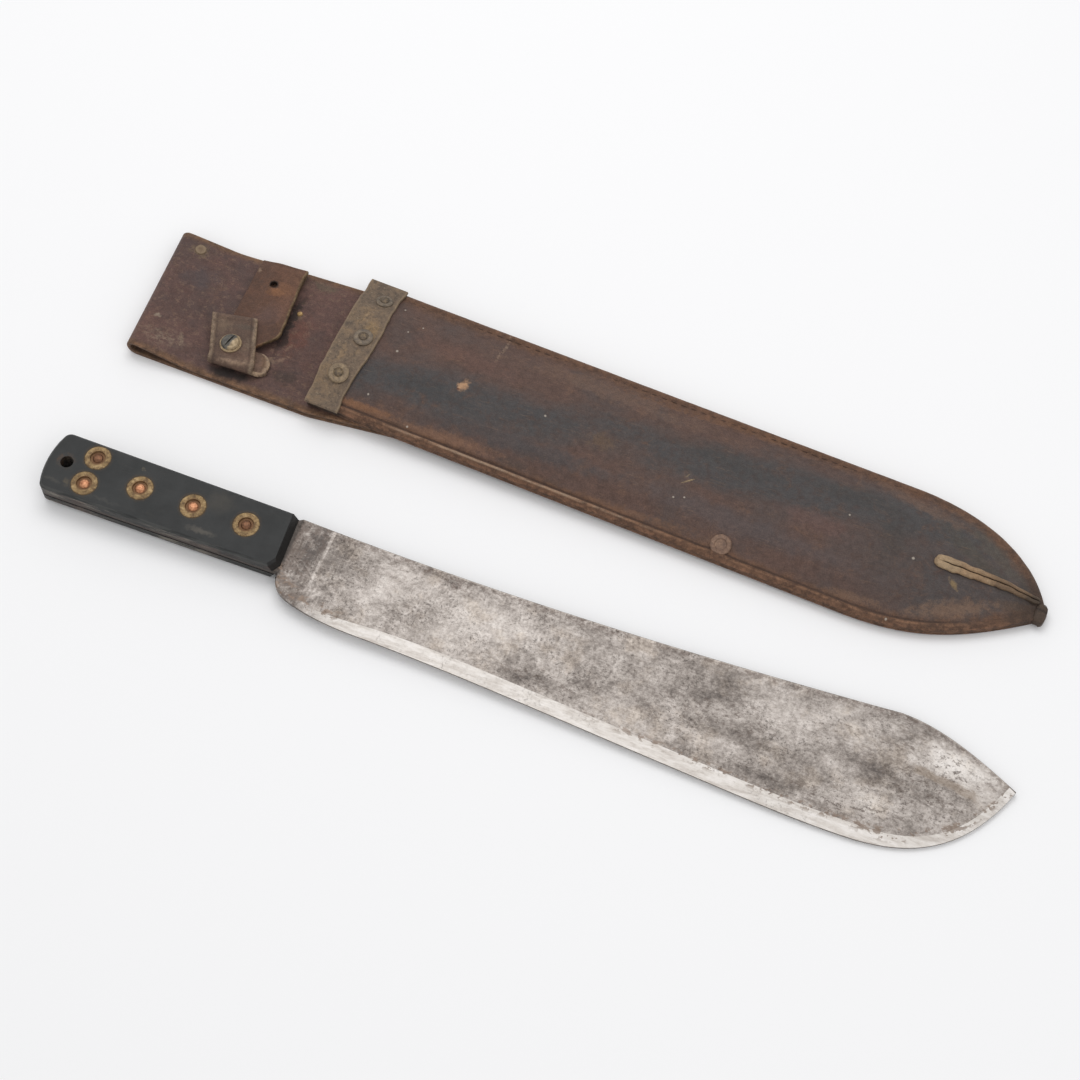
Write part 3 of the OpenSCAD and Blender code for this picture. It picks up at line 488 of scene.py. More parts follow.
def front_marks(n, rest, e, shade):
    """Painted highlight and rubbed patches along the near edge's crest, painted shade in the groove inside
    it, a scuffed line across, dark rim at the tip.
    """
    s, y = n.attr("s"), n.attr("y")
    near = n.step(y, -20.0, -30.0)
    part = n.step(s, 40.0, 70.0) * n.fall(s, 150.0, 215.0)
    crest = n.line(e, 2.4, 0.3, 1.1)
    broken = n.patches(rest, 0.35, 0.55, 0.35, 4, 0.7, stretch=(0.2, 1, 1))
    # the crest's light line is a painted highlight
    n.paint(crest * near * part * (broken * 0.8), (170, 146, 124))
    groove = n.line(e, 4.3, 0.2, 0.9)
    n.paint(crest * near * (n.step(shade, 0.42, 0.58) * 0.45), (146, 110, 84))
    # the groove's dark line is painted shade
    n.paint(groove * near * 0.65, (56, 42, 36))
    across = s - 84.0 + (n.noise(rest, 0.1, 4, 0.7) - 0.5) * 5.0
    line = n.fall(abs(across), 0.3, 1.1)
    line = line * n.step(y, 17.0, 24.0) * n.patches(rest, 0.4, 0.6, 0.4, 3)
    n.paint(line * 0.6, (150, 128, 108))
    tip = n.step(s, 372.0, 386.0) * 0.7
    n.paint(tip, (60, 50, 44))


FRONT_SPECKS = (
    (34, 2.8, 12, 0.9), (33.7, 16.6, 12, 0.6), (25, 30.7, 10, 0.7), (31.5, -26.7, 10, 0.7),
    (121.7, -1.9, 12, 0.8), (200.7, -19.1, 12, 0.7), (205.8, -16.8, 12, 0.7), (323.6, -2.3, 11, 1.0),
    (39.7, 22.5, 12, 0.6), (286, 8, 12, 0.7), (58, -35, 9, 0.8), (322.4, -38, 8, 0.8),
)
FRONT_SPOTS = (
    (150, 27, 70, 8, -3, (108, 84, 70), 0.5, 0.7),
    (70, 14, 40, 8, -4, (100, 73, 64), 0.5),
    (156, -4, 12, 7, 10, (104, 82, 62), 0.45, 0.7),
    (240, -20, 80, 9, -4, (80, 72, 72), 0.6),
    (120, -23, 62, 7, -2, (66, 66, 68), 0.6),
    (272, -3, 26, 7, -4, (102, 76, 70), 0.4),
    (60, -12, 34, 7, -4, (56, 57, 58), 0.5),
    (215, 12, 40, 8, -4, (60, 59, 58), 0.45),
    (285, 20, 34, 8, -4, (58, 57, 56), 0.45),
    (312, 2, 14, 24, 0, (60, 57, 55), 0.5, 0.6),
    (76, -34, 42, 4.6, 0, (128, 94, 72), 0.6, 0.4),
    (118, -33, 10, 3, 0, (70, 58, 52), 0.6, 0.8),
    (52, -36, 8, 2.4, 0, (72, 56, 48), 0.6, 0.8),
    (196, -34, 14, 3, 0, (74, 64, 60), 0.55, 0.8),
    (140, -35, 9, 3.4, 0, (66, 56, 52), 0.6, 0.6),
    (300, -34, 22, 3.4, 4, (116, 90, 72), 0.55, 0.6),
    (322, 30, 34, 5, -14, (112, 88, 74), 0.5, 0.6),
    (175, -35.5, 46, 3.2, 0, (120, 88, 66), 0.5, 0.8),
    (225, 37, 80, 3.0, 0, (118, 84, 60), 0.5, 0.8),
    (362, 19, 28, 7, -38, (84, 77, 69), 0.6, 0.6),
    (75, -2.5, 3.4, 4.2, -30, (178, 140, 108), 0.95, 0.5),
    (73.4, -5.4, 1.4, 1.0, 0, (90, 56, 42), 0.9, 0.3),
    (204, -7.2, 4.5, 0.6, 38, (150, 130, 98), 0.8, 0.5),
    (202.6, -4.6, 2.2, 0.5, 60, (128, 112, 88), 0.7, 0.5),
    (346.5, -7.4, 4.2, 2.0, -45, (140, 118, 84), 0.75, 0.5),
    (88, 38, 6, 2.0, 0, (60, 44, 36), 0.7),
    (232.4, -33.4, 8.5, 5.5, 0, (116, 86, 68), 0.55),
    (30, -34, 24, 3.0, -2, (140, 98, 66), 0.6),
    (378, -6, 13, 4.0, 8, (90, 72, 58), 0.55),
    (352, 12, 30, 7, -35, (74, 69, 62), 0.6),
    (350, -20, 30, 6, 24, (124, 98, 80), 0.65, 0.5),
)
front_leather = leather("leather_front", DARK, BROWN, ORANGE, 0.35, stripe, 7.0,
    [spot(*v) for v in FRONT_SPOTS], [(pouch(x, y, z), size) for x, y, z, size in FRONT_SPECKS],
    extra=front_marks)
back_leather = leather("leather_back", BROWN, RED, ORANGE, 0.4, None, 6.0)
nub_leather = leather("leather_nub", (74, 60, 50), (98, 80, 65), (122, 99, 78), 0.4, None, 2.0)


def loop_marks(n, rest, e, shade):
    """Dust and scuffs in the near corner, in short strokes, and painted shadows under the tab's fold and
    beside the strap.
    """
    x, y = n.split(rest)[:2]
    q = n.warp(rest, x, y, 0.16, 16.0, 10.0)
    mask = n.zone(q, at(-114, 98, 0), (17, 7))
    stroke = n.noise(rest, 0.42, 6, 0.8, turn=(0, 0, 0.4), stretch=(0.7, 1, 1))
    n.paint(mask * (n.step(stroke, 0.44, 0.62) * 0.7), (143, 124, 106))
    marks = n.patches(rest, 0.53, 0.62, 0.3, 6, 0.78, move=(12, 5, 0))
    n.paint(marks * 0.4, (124, 100, 84))
    dim = n.patches(rest, 0.52, 0.62, 0.16, 6, 0.75, move=(3, 52, 0))
    n.paint(dim * 0.35, (66, 54, 52))
    # painted shadows: under the tab's fold, and on the loop along the strap's right side
    for place, size, amount in ((at(-72, 89.5, 0), (15, 4.5), 0.9), (at(-54.5, 130, 0), (3.4, 25), 0.8)):
        n.paint(n.zone(q, place, size, 0.4, 1.1) * amount, (26, 20, 18))


LOOP_SPOTS = (
    (-112, 140, 8, 14, 9, 20, (72, 66, 68), 0.55, 0.5),
    (-118, 128, 8, 8, 20, 0, (84, 60, 54), 0.5, 0.6),
    (-48, 123, 6, 9, 17, 0, (104, 64, 52), 0.6, 0.5),
    (-44, 98, 6, 12, 6, 0, (58, 46, 40), 0.7, 0.5),
    (-46, 160, 6, 12, 4, 0, (92, 82, 66), 0.6, 0.6),
    (-122, 109, 9, 2.2, 1.6, 8, (150, 136, 118), 0.7, 0.8),
    (-105, 101, 9, 1.4, 5, 20, (134, 116, 98), 0.6, 0.9),
    (-50, 107, 6, 6, 1.4, 50, (138, 112, 94), 0.6, 0.7),
    (-57, 105, 6, 6, 2.6, 10, (146, 120, 100), 0.7, 0.7),
    (-49, 116, 6, 1.0, 4, -20, (128, 104, 88), 0.5, 0.7),
    (-52, 136, 6, 4, 2.5, 30, (120, 104, 84), 0.45, 0.6),
    (-119, 157, 9, 6.5, 5, 0, (124, 108, 84), 0.6, 0.5),
)
loop_leather = leather("leather_loop", (80, 63, 59), (100, 73, 66), (122, 92, 68), 0.35, None, 3.6,
    [mark(*v) for v in LOOP_SPOTS], extra=loop_marks)


def strap_marks(n, rest, e, shade):
    """Thick side of the strap: light tan leather, darker underneath as painted shade."""
    x = n.split(rest)[0]
    side_of = n.fall(e, 0.7, 1.3)
    thick = side_of * (n.step(x, STRAP_X1 - 6 - MID_X, STRAP_X1 - 2 - MID_X) * 0.85)
    n.paint(thick, n.mixc(n.step(shade, 0.35, 0.65), (80, 64, 46), (124, 104, 76)))


STRAP_SPOTS = (
    (-66, 148, 10, 13, 6, 0, (128, 88, 62), 0.45, 0.6),
    (-68, 144.5, 10, 6, 4.5, 0, (136, 92, 60), 0.5, 0.6),
    (-71.5, 149, 10, 3.8, 3.2, 0, (60, 42, 33), 0.75, 0.3),
    (-68, 128, 10, 9, 10, 0, (94, 72, 66), 0.6, 0.5),
    (-83, 156, 10, 1.2, 2.2, 0, (150, 128, 108), 0.6, 0.7),
    (-60, 134, 10, 2.5, 9, 0, (116, 84, 70), 0.5, 0.6),
)
strap_leather = leather("leather_strap", (80, 57, 46), (102, 71, 55), (118, 86, 62), 0.4, None, 1.2,
    [mark(*v) for v in STRAP_SPOTS], extra=strap_marks)


def tab_marks(n, rest, e, shade):
    """Rubbed border with a darker crease inside it, and mottling."""
    broken = n.patches(rest, 0.42, 0.56, 0.45, 5, 0.75)
    rim = n.line(e, 1.3, 0.3, 1.1)
    n.paint(rim * (broken * 0.55), (168, 146, 124))
    crease = n.line(e, 3.2, 0.2, 0.9)
    n.paint(crease * 0.45, (82, 64, 54))
    patch = n.patches(rest, 0.5, 0.6, 0.3, 6, 0.78, move=(7, 3, 0))
    n.paint(patch * 0.5, (88, 70, 60))


TAB_SPOTS = (
    # first row: a light line along the fold's crest, wear with a painted highlight
    (-70, 93.5, 11, 12, 1.6, 4, (176, 148, 124), 0.8, 0.7),
    (-74, 98, 11, 10, 2.6, 0, (100, 72, 60), 0.5, 0.5),
    (-54, 101, 8, 6, 7, 0, (128, 97, 70), 0.7, 0.5),
    (-66, 108, 11, 3, 7, -20, (150, 130, 110), 0.5, 0.9),
    (-82, 103, 11, 4, 5, 30, (84, 68, 58), 0.5, 0.8),
    (-86, 112, 11, 8, 5, 20, (134, 112, 92), 0.55, 0.8),
    (-72, 116, 11, 10, 2.5, 10, (92, 82, 72), 0.5, 0.6),
)
tab_leather = leather("leather_tab", (104, 83, 71), (134, 106, 90), (162, 138, 114), 0.6, None, 2.6,
    [mark(*v) for v in TAB_SPOTS], extra=tab_marks)
SEAM_SPOTS = (
    # first row: a light patch where the lips start, a painted highlight
    (340, 2, 10, 8, 0, (172, 150, 120), 0.6, 0.6),
    (372, 1, 14, 8, 0, (104, 84, 66), 0.75, 0.5),
    (388, 1, 9, 8, 0, (62, 52, 44), 0.9, 0.4, 10),
)
seam_leather = leather("leather_seam", (124, 100, 77), (160, 131, 101), (178, 154, 124), 0.6, None, 0.1,
    [spot(*v) for v in SEAM_SPOTS], scratches=0.0)


# Pouch outline


def bez(a, b, c, d, n):
    """Points of the curve from a to d, pulled by b and c."""
    points = []
    for t in np.linspace(0, 1, n):
        weights = ((1 - t) ** 3, 3 * (1 - t) ** 2 * t, 3 * (1 - t) * t * t, t ** 3)
        points.append(tuple(sum(w * v[k] for w, v in zip(weights, (a, b, c, d))) for k in (0, 1)))
    return points


L, H = POUCH_LEN, POUCH_HALF
far_line = [(0, H)] + bez((L - 80, H), (L - 43, H), (L - 14, 0.68 * H), (L, 2.5), 60)
near_line = [(0, -H)] + bez((L - 94, -H), (L - 58, -H), (L - 36, -0.815 * H), (L, -5), 60)
far_x, far_y = np.array(far_line).T
near_x, near_y = np.array(near_line).T


def side(x):
    return float(np.interp(x, near_x, near_y)), float(np.interp(x, far_x, far_y))


def slack(x, y):
    """Distance from the pouch's outline, in plan."""
    out = []
    for xs, ys in ((near_x, near_y), (far_x, far_y)):
        g = (np.interp(x + 1, xs, ys) - np.interp(x - 1, xs, ys)) / 2
        out.append(abs(y - np.interp(x, xs, ys)) / sqrt(1 + g * g))
    return min(out)


def stations(first, straight, eased, reach):
    """Places along the pouch: even ones up to its round end, then closer and closer to the tip."""
    tipward = ROUND_START + reach * np.sin(np.linspace(0.02, 1, eased) * pi / 2)
    return [*np.linspace(first, ROUND_START, straight), *tipward]


def mouth_skew(x):
    """The mouth is cut slanting: its far edge starts later, and that fades along the pouch."""
    return max(0, MOUTH_SKEW * (1 - x / SKEW_RUN))


def near_share(y):
    return (POUCH_HALF - y) / (2 * POUCH_HALF)


def dome(d):
    return DOME_H * smooth((d - WELT_W) / DOME_RUN) + CROWN * (max(0, d) / POUCH_HALF) ** 2


# Front panel


SIDE_SPOT = (232.6, -POUCH_HALF + 8)


def panel_height(s0, y, n0, f0):
    """Height of the outer face over the pouch's underside, without its dents."""
    w = f0 - n0
    d = slack(s0, y)
    near = y < (n0 + f0) / 2
    narrow = min(1.0, w / 40)
    z = FRONT_Z + FRONT_T + dome(d)
    z -= 1.6 * narrow * max(0, 1 - d / 1.8) ** 2
    # rubbed crest along the edge with a groove inside it, then the raised place of the side rivet
    deep = (0.75 + 0.5 * hump(s0, 110, 60)) if near else 0.35
    z += narrow * deep * (0.7 * hump(d, 2.3, 0.8) - 0.85 * hump(d, 4.3, 0.7))
    r = hypot(s0 - SIDE_SPOT[0], y - SIDE_SPOT[1])
    z += 0.75 * smooth((9.5 - r) / 4)
    return z, d


# Shares of the width at which the outer face has a row of points, closer along both rims
RIM_SHARES = np.array([0, *np.arange(0.004, 0.06, 0.006), 0.066, 0.076, 0.088])
FACE_SHARES = np.concatenate([RIM_SHARES, np.linspace(0.1, 0.9, 50), 1 - RIM_SHARES[::-1]])


def front_face(s0, n0, f0):
    """Outer face with its dents: place across, height, distance from the edge, and darkening, which grows
    where the face squeezes into the tip.
    """
    squeeze = smooth((s0 - (L - 12)) / 12)
    rows = []
    for u in FACE_SHARES:
        y = n0 + u * (f0 - n0)
        z, d = panel_height(s0, y, n0, f0)
        p = pouch(s0, y, z)
        dents = waves(p, 0.55, 42, 3.0) + waves(p, 0.35, 15, 9.0) + waves(p, 0.14, 6, 1.0)
        z += min(1, d / 8) * dents + 0.12 * wave(s0 / 4, y / 3, 2.0)
        rows.append((y, z - 0.9 * squeeze, d, 0.25 * squeeze))
    return rows


def front_sides(s0, n0, f0):
    """Edges of the front panel, the welt and the rear panel, with fine gaps between. The last number darkens
    each point: most in the gaps as painted shade, and on the near side by the mouth as a painted shadow
    under the band's end.
    """
    sway, near_sway = 0.22 * wave(s0 / 9, 4.0, 0), 0.22 * wave(s0 / 9, 14.0, 0)
    # by the mouth the near edge is set in and painted dark: a painted shadow under the band's end
    dark = smooth(2 * max(0, 1 - s0 / 30))
    far = [(f0 + sway, 4.9, 0, 0.1), (f0 + sway, 4.4, 0, 0.2), (f0 - 0.5, 4.1, 0, 0.8),
        (f0 - 0.05, 3.8, 0, 0.2), (f0 - 0.05, 2.9, 0, 0.2), (f0 - 0.5, 2.6, 0, 0.8),
        (f0 + sway / 2, 2.2, 0, 0.2), (f0 - 0.1, 0.9, 0, 0.2), (f0 - 0.5, 0.3, 0, 0.3),
        (f0 - 1.0, 0.25, 0, 0.3), (f0 - 1.1, 2.7, 0.5, 0.5)]
    near = [(n0 + 1.1, 2.7, 0.5, 0.5), (n0 + 1.0, 0.25, 0, 0.3), (n0 + 0.5, 0.3, 0, 0.3),
        (n0 + 0.1, 0.9, 0, 0.2 + dark), (n0 - near_sway / 2, 2.2, 0, 0.2 + dark), (n0 + 0.5, 2.6, 0, 0.9),
        (n0 + 0.05 + dark, 2.9, 0, 0.2 + dark), (n0 + 0.05 + dark, 3.8, 0, 0.2 + dark),
        (n0 + 0.5 + 0.6 * dark, 4.1, 0, 0.9), (n0 - near_sway, 4.4, 0, 0.2), (n0 - near_sway, 4.9, 0, 0.1)]
    return far, near


def front_inside(s0, n0, f0):
    """Inner face of the pouch between its welts, painted dark as shade inside the pouch."""
    reach = min(WELT_W, (f0 - n0) * 0.4)
    rows = [(f0 - reach, 2.7, 8, 0.7)]
    for u in np.linspace(1, 0, 25):
        y = n0 + reach + u * (f0 - n0 - 2 * reach)
        rows.append((y, FRONT_Z + dome(slack(s0, y)), 8, 0.6))
    return rows + [(n0 + reach, 2.7, 8, 0.7)]


def front_panel():
    places = stations(0, 150, 100, 95.6)
    points, edge, alongs, acrosses, dirt = [], [], [], [], []
    for s0 in places:
        n0, f0 = side(s0)
        far, near = front_sides(s0, n0, f0)
        ring = front_face(s0, n0, f0) + far + front_inside(s0, n0, f0) + near
        for y, z, d, g in ring:
            points.append(pouch(s0 + mouth_skew(s0) * near_share(y), y, z))
            edge.append(d)
            alongs.append(s0)
            acrosses.append(y)
            dirt.append(min(1, g))
    attrs = {"edge": edge, "s": alongs, "y": acrosses, "dirt": dirt}
    replaced = ("sheath_front", "welt_near", "welt_far")
    faces = tube_faces(len(places), len(ring))
    mesh("front_panel", points, faces, attrs, "sheath", front_leather, replaced)


front_panel()

# rear panel, a little inside the wrapped edge
xs = stations(0.6, 60, 50, 94)
lefts, rights = [], []
for x in xs:
    a, b = side(x)
    inset = min(1.15, (b - a) * 0.2)
    lefts.append(pouch(x + mouth_skew(x), a + inset, REAR_MID_Z))
    rights.append(pouch(x, b - inset, REAR_MID_Z))
up = pouch(0, 0, 1) - pouch(0, 0, 0)
sheet("rear_panel", lefts, rights, [up] * len(xs), "sheath", back_leather, 2.5, 20, 0.6, amp=0.0,
    replaces=("sheath_back",))


# Belt loop


def loop_path():
    """Middle line of the loop's leather: lower layer, fold, upper layer."""
    r = (LOOP_GAP + 2 * LOOP_T) / 2
    middle_r = r - LOOP_T / 2
    path = []
    x_end = MOUTH_X + 56
    for x in np.linspace(x_end, LOOP_X + r, 50):
        path.append((x, LOOP_T / 2, 0, 1))
    for _, c, s in half_turn(19)[1:-1]:
        path.append((LOOP_X + r + middle_r * c, r + middle_r * s, -c, -s))
    # upper layer: slope, level, lap under the pouch
    keys = [(LOOP_X + r, 2 * r - LOOP_T / 2), (LOOP_X + LOOP_SLOPE, LOOP_TOP - LOOP_T / 2),
        (MOUTH_X - 1, LOOP_TOP - LOOP_T / 2), (MOUTH_X + 35, 1.52 * LOOP_T)]
    kx, kz = zip(*keys)
    for x in np.linspace(LOOP_X + r, MOUTH_X + 35, 70):
        z = np.mean([np.interp(x + dx, kx, kz) for dx in (-3, -1.5, 0, 1.5, 3)])
        g = (np.interp(x + 3, kx, kz) - np.interp(x - 3, kx, kz)) / 6
        path.append((x, float(z), g, -1))
    return path


def loop_piece():
    lefts, rights, normals = [], [], []
    near_slope, far_slope, lap_slope = -0.0564, -0.002, 0.13
    for x, z, nx, nz in loop_path():
        a = LOOP_NEAR + near_slope * (x - LOOP_X)
        b = LOOP_NEAR + LOOP_W + far_slope * (x - LOOP_X)
        if x > MOUTH_X:
            a += (x - MOUTH_X) * lap_slope
        lefts.append(at(x - tan(LOOP_TURN) * (a - LOOP_NEAR), a, z))
        rights.append(at(x - tan(LOOP_TURN) * (b - LOOP_NEAR), b, z))
        v = np.array([nx, 0, nz])
        normals.append(-v / np.linalg.norm(v))
    sheet("loop_leather", lefts, rights, normals, "sheath", loop_leather, LOOP_T, 30, 0.75, amp=0.0,
        seed=4.0, replaces=("belt_loop",))


loop_piece()


# Strap


def bend_of(a, b, c):
    """Over 0 where the way from a over b to c bends to the left."""
    return (b[0] - a[0]) * (c[1] - a[1]) - (b[1] - a[1]) * (c[0] - a[0])


def hull_span(points, y):
    """Left and right side of the points' convex outline at y."""
    path = sorted(set((round(a, 4), round(b, 4)) for a, b in points))

    def half(seq):
        out = []
        for p in seq:
            while len(out) > 1 and bend_of(out[-2], out[-1], p) <= 0:
                out.pop()
            out.append(p)
        return out
    ring = half(path) + half(path[::-1])[1:]
    xs = []
    for (xa, ya), (xb, yb) in zip(ring, ring[1:]):
        if min(ya, yb) <= y <= max(ya, yb) and ya != yb:
            xs.append(xa + (xb - xa) * (y - ya) / (yb - ya))
    return min(xs), max(xs)


def circle_points(x, y, r):
    return [(x + r * cos(a), y + r * sin(a)) for a in np.linspace(0, 2 * pi, 121)]


strap_outline = (
    circle_points(STRAP_X0 + 11, STRAP_END + 11, 11)
    + circle_points(STRAP_X1 - 12.5, STRAP_END + 8, 8)
    + circle_points(STRAP_X1 - 5.5, STRAP_END + 16, 8.5)
    + [(x, y) for y in (STRAP_HINGE - 4, STRAP_HINGE) for x in (STRAP_X0, STRAP_X1)]
)


def strap_bow(i, u):
    """The left side lies lower, the right side stands up a little."""
    return -1.5 * smooth((0.45 - u) / 0.45) + 0.35 * smooth((u - 0.7) / 0.3)


def strap_piece():
    """The strap with its fixed far end: one strip that bends at the hinge line."""
    lefts, rights = [], []
    ys = list(np.linspace(STRAP_FAR, STRAP_HINGE + 1, 12))
    ys += list(np.linspace(STRAP_HINGE, STRAP_HINGE - 14, 22))
    ys += list(np.linspace(STRAP_HINGE - 15, STRAP_END + 9, 36))
    ys += list(STRAP_END + 8.6 * (1 - np.sin(np.linspace(0.06, 1, 22) * pi / 2)) + 0.05)
    for y in ys:
        a, b = (STRAP_X0, STRAP_X1) if y >= STRAP_HINGE else hull_span(strap_outline, y)
        sway = 0.35 * wave(y / 7, 3.0, 1.0)
        if b - a < 1.6:
            a, b = (a + b) / 2 - 0.8, (a + b) / 2 + 0.8
        drop = -0.7 * smooth((y - STRAP_FAR + 5) / 5)
        lefts.append(at(a + sway, y, STRAP_Z + FLAP_T / 2 + drop))
        rights.append(at(b + sway, y, STRAP_Z + FLAP_T / 2 + drop))
    return sheet("strap_leather", lefts, rights, [[0, 0, 1]] * len(ys), None, strap_leather, FLAP_T, 34,
        0.7, amp=0.15, seed=6.0, bow=strap_bow, replaces=("strap",), soft_side=True)


def pierce(o, x, y, r):
    """Round hole through a sheet that lies flat, at x, y in metres, with its wall painted dark as shade
    inside the hole.
    """
    bm = bmesh.new()
    bm.from_mesh(o.data)
    spots = [(f, f.calc_center_median()) for f in bm.faces if abs(f.normal.z) > 0.5]
    inside = [f for f, c in spots if hypot(c.x - x, c.y - y) < r]
    bmesh.ops.delete(bm, geom=inside, context="FACES")
    rim = [e for e in bm.edges if e.is_boundary]
    for v in set(v for e in rim for v in e.verts):
        d = hypot(v.co.x - x, v.co.y - y)
        v.co.x, v.co.y = x + (v.co.x - x) * r / d, y + (v.co.y - y) * r / d
    # the hole's wall is marked fully for painted shade
    dirt = bm.verts.layers.float["dirt"]
    for f in bmesh.ops.bridge_loops(bm, edges=rim)["faces"]:
        f.smooth = False
        for v in f.verts:
            v[dirt] = 1.0
    bmesh.ops.recalc_face_normals(bm, faces=bm.faces)
    bm.to_mesh(o.data)
    bm.free()


strap = strap_piece()
hole = at(STRAP_X0 + 13, STRAP_HINGE - 6.2, STRAP_Z) * MM
pierce(strap, hole[0], hole[1], 0.002)
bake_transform(strap, "sheath", "strap", start=(0, (STRAP_HINGE + 3 - MID_Y) * MM, 0),
    end=(0, (STRAP_HINGE - 3 - MID_Y) * MM, 0))

# layer under the strap
lefts, rights = [], []
for y in np.linspace(STRAP_FAR - 0.3, 127, 30):
    lefts.append(at(STRAP_X0 + 8, y, LOOP_TOP + FLAP_T / 2 - 0.1))
    rights.append(at(STRAP_X1 - 0.8 + 0.4 * sin(y / 4), y, LOOP_TOP + FLAP_T / 2 - 0.1))
sheet("strap_underlay", lefts, rights, [[0, 0, 1]] * 30, "sheath", strap_leather, FLAP_T - 0.1, 20, 0.6,
    amp=0.0, seed=8.0, replaces=("strap_root",))


# Stud tab


def tab_piece():
    """Folded tab: sewn layer, fold and flap in one strip. The flap has a raised border."""
    lefts, rights, normals, walked = [], [], [], []
    middle_r = FOLD_R - FLAP_T / 2
    fold_z = LOOP_TOP + FOLD_R
    ear_w, ear_from, ear_r = 6.0, 4.5, 6.6
    rows = [(TAB_HINGE + d, fold_z - middle_r, (0, 0, 1), 0.0, 0.0) for d in np.linspace(11, 0.6, 18)]
    for part, c, s in half_turn(21):
        rows.append((TAB_HINGE + middle_r * c, fold_z + middle_r * s, (0, -c, -s), part, 0.0))
    rows += [(TAB_HINGE, fold_z + middle_r, (0, 0, -1), 1.0, t) for t in np.linspace(0.03, 1, 34)]
    for y, z, v, part, t in rows:
        x0, x1 = TAB_X0 + 0.5, TAB_X0 + TAB_W
        ya = yb = y
        if part < 0.5:
            # the sewn layer is wider, with a round corner
            x1 += ear_w * (1 - 2 * part) * sqrt(1 - (max(0.0, y - TAB_HINGE - ear_from) / ear_r) ** 2)
            x0 += 1.0 - 2 * part
        if t:
            x0 -= (TAB_LEAN + 0.5) * t
            x1 -= 1.2 * TAB_LEAN * t
            ya += (TAB_LEN - 0.5) * t
            yb += (TAB_LEN + 3.4) * t
        lefts.append(at(x0, ya, z))
        rights.append(at(x1, yb, z))
        normals.append(v)
        walked.append(t)

    def bow(i, u):
        t = walked[i]
        if not t:
            return 0.0
        d = min(u * 25, (1 - u) * 25, (1 - t) * 27)
        return 0.35 * hump(d, 3.4, 0.8) - 0.4 * hump(d, 1.4, 0.8) - 0.12 * sin(t * 40) * hump(d, 1.6, 0.7)
    return sheet("tab_leather", lefts, rights, normals, None, tab_leather, FLAP_T, 40, 0.65, amp=0.12,
        seed=10.0, bow=bow, replaces=("tab_root", "stud_tab"))


tab = tab_piece()
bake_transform(tab, "sheath", "tab", start=(0, 0, (LOOP_TOP + FLAP_T) * MM), end=(0, 0, (FLAP_Z + 0.2) * MM))


# Mouth band


def band_piece():
    lefts, rights, normals = [], [], []
    ys = np.linspace(-POUCH_HALF - BAND_OVER, POUCH_HALF, 70)
    for y in ys:
        d = POUCH_HALF - abs(y)
        z = FRONT_Z + FRONT_T + dome(max(0, d)) + 0.15 + BAND_T / 2
        slope = dome(max(0, POUCH_HALF - abs(y + 0.5))) - dome(max(0, POUCH_HALF - abs(y - 0.5)))
        skew = MOUTH_SKEW * near_share(y)
        bulge = 1.2 * sin((y + 20) / 13.0) * smooth((POUCH_HALF - abs(y)) / 8)
        right = BAND_W + bulge + 0.5 * wave(y / 6, 2.0, 0)
        left = -0.4 + skew + 0.35 * wave(y / 5, 7.0, 0)
        lefts.append(pouch(left, y, z))
        rights.append(pouch(right, y, z))
        v = np.array([0, -slope, 1.0])
        v /= np.linalg.norm(v)
        normals.append(pouch(0, v[1], v[2]) - pouch(0, 0, 0))
    return lefts, rights, normals


def band_material():
    n = Nodes("band_metal")
    rest = n.attr("rest", True)
    x, y = n.split(rest)[:2]
    cloud = n.noise(rest, 0.09, 5, 0.7, 0.6)
    n.color = n.ramp(cloud, (0.3, (84, 72, 62)), (0.5, (112, 95, 79)), (0.62, (126, 105, 82)),
        (0.75, (140, 116, 88)))
    q = n.warp(rest, x, y, 0.2, 9.0, 9.0)
    gold = n.zone(q, pouch(16, 7, 0), (6, 10))
    n.paint(gold * 0.6, (150, 122, 84))
    mottle = n.noise(rest, 0.45, 7, 0.78)
    n.paint(n.step(mottle, 0.46, 0.62) * 0.65, (70, 61, 54))
    dust = n.noise(rest, 0.8, 5, 0.75, move=(9, 4, 0))
    n.paint(n.step(dust, 0.54, 0.68) * 0.55, (156, 140, 118))
    e = n.attr("edge")
    n.paint(n.fall(e, 0.2, 1.6) * 0.45, (142, 122, 98))
    h = mottle * 1.2 + dust * 0.6
    return n.finish(0.5 + dust * 0.3, 0.25, h, 0.0003, 0.9, Specular_IOR_Level=0.35)


band_look = band_material()
lefts, rights, normals = band_piece()
sheet("mouth_strip", lefts, rights, normals, "sheath", band_look, BAND_T, 18, 0.5, amp=0.12, seed=12.0,
    replaces=("mouth_band",))


# Tip seam and cap


def tip_dome(x, y):
    return FRONT_Z + FRONT_T + dome(slack(x, y))


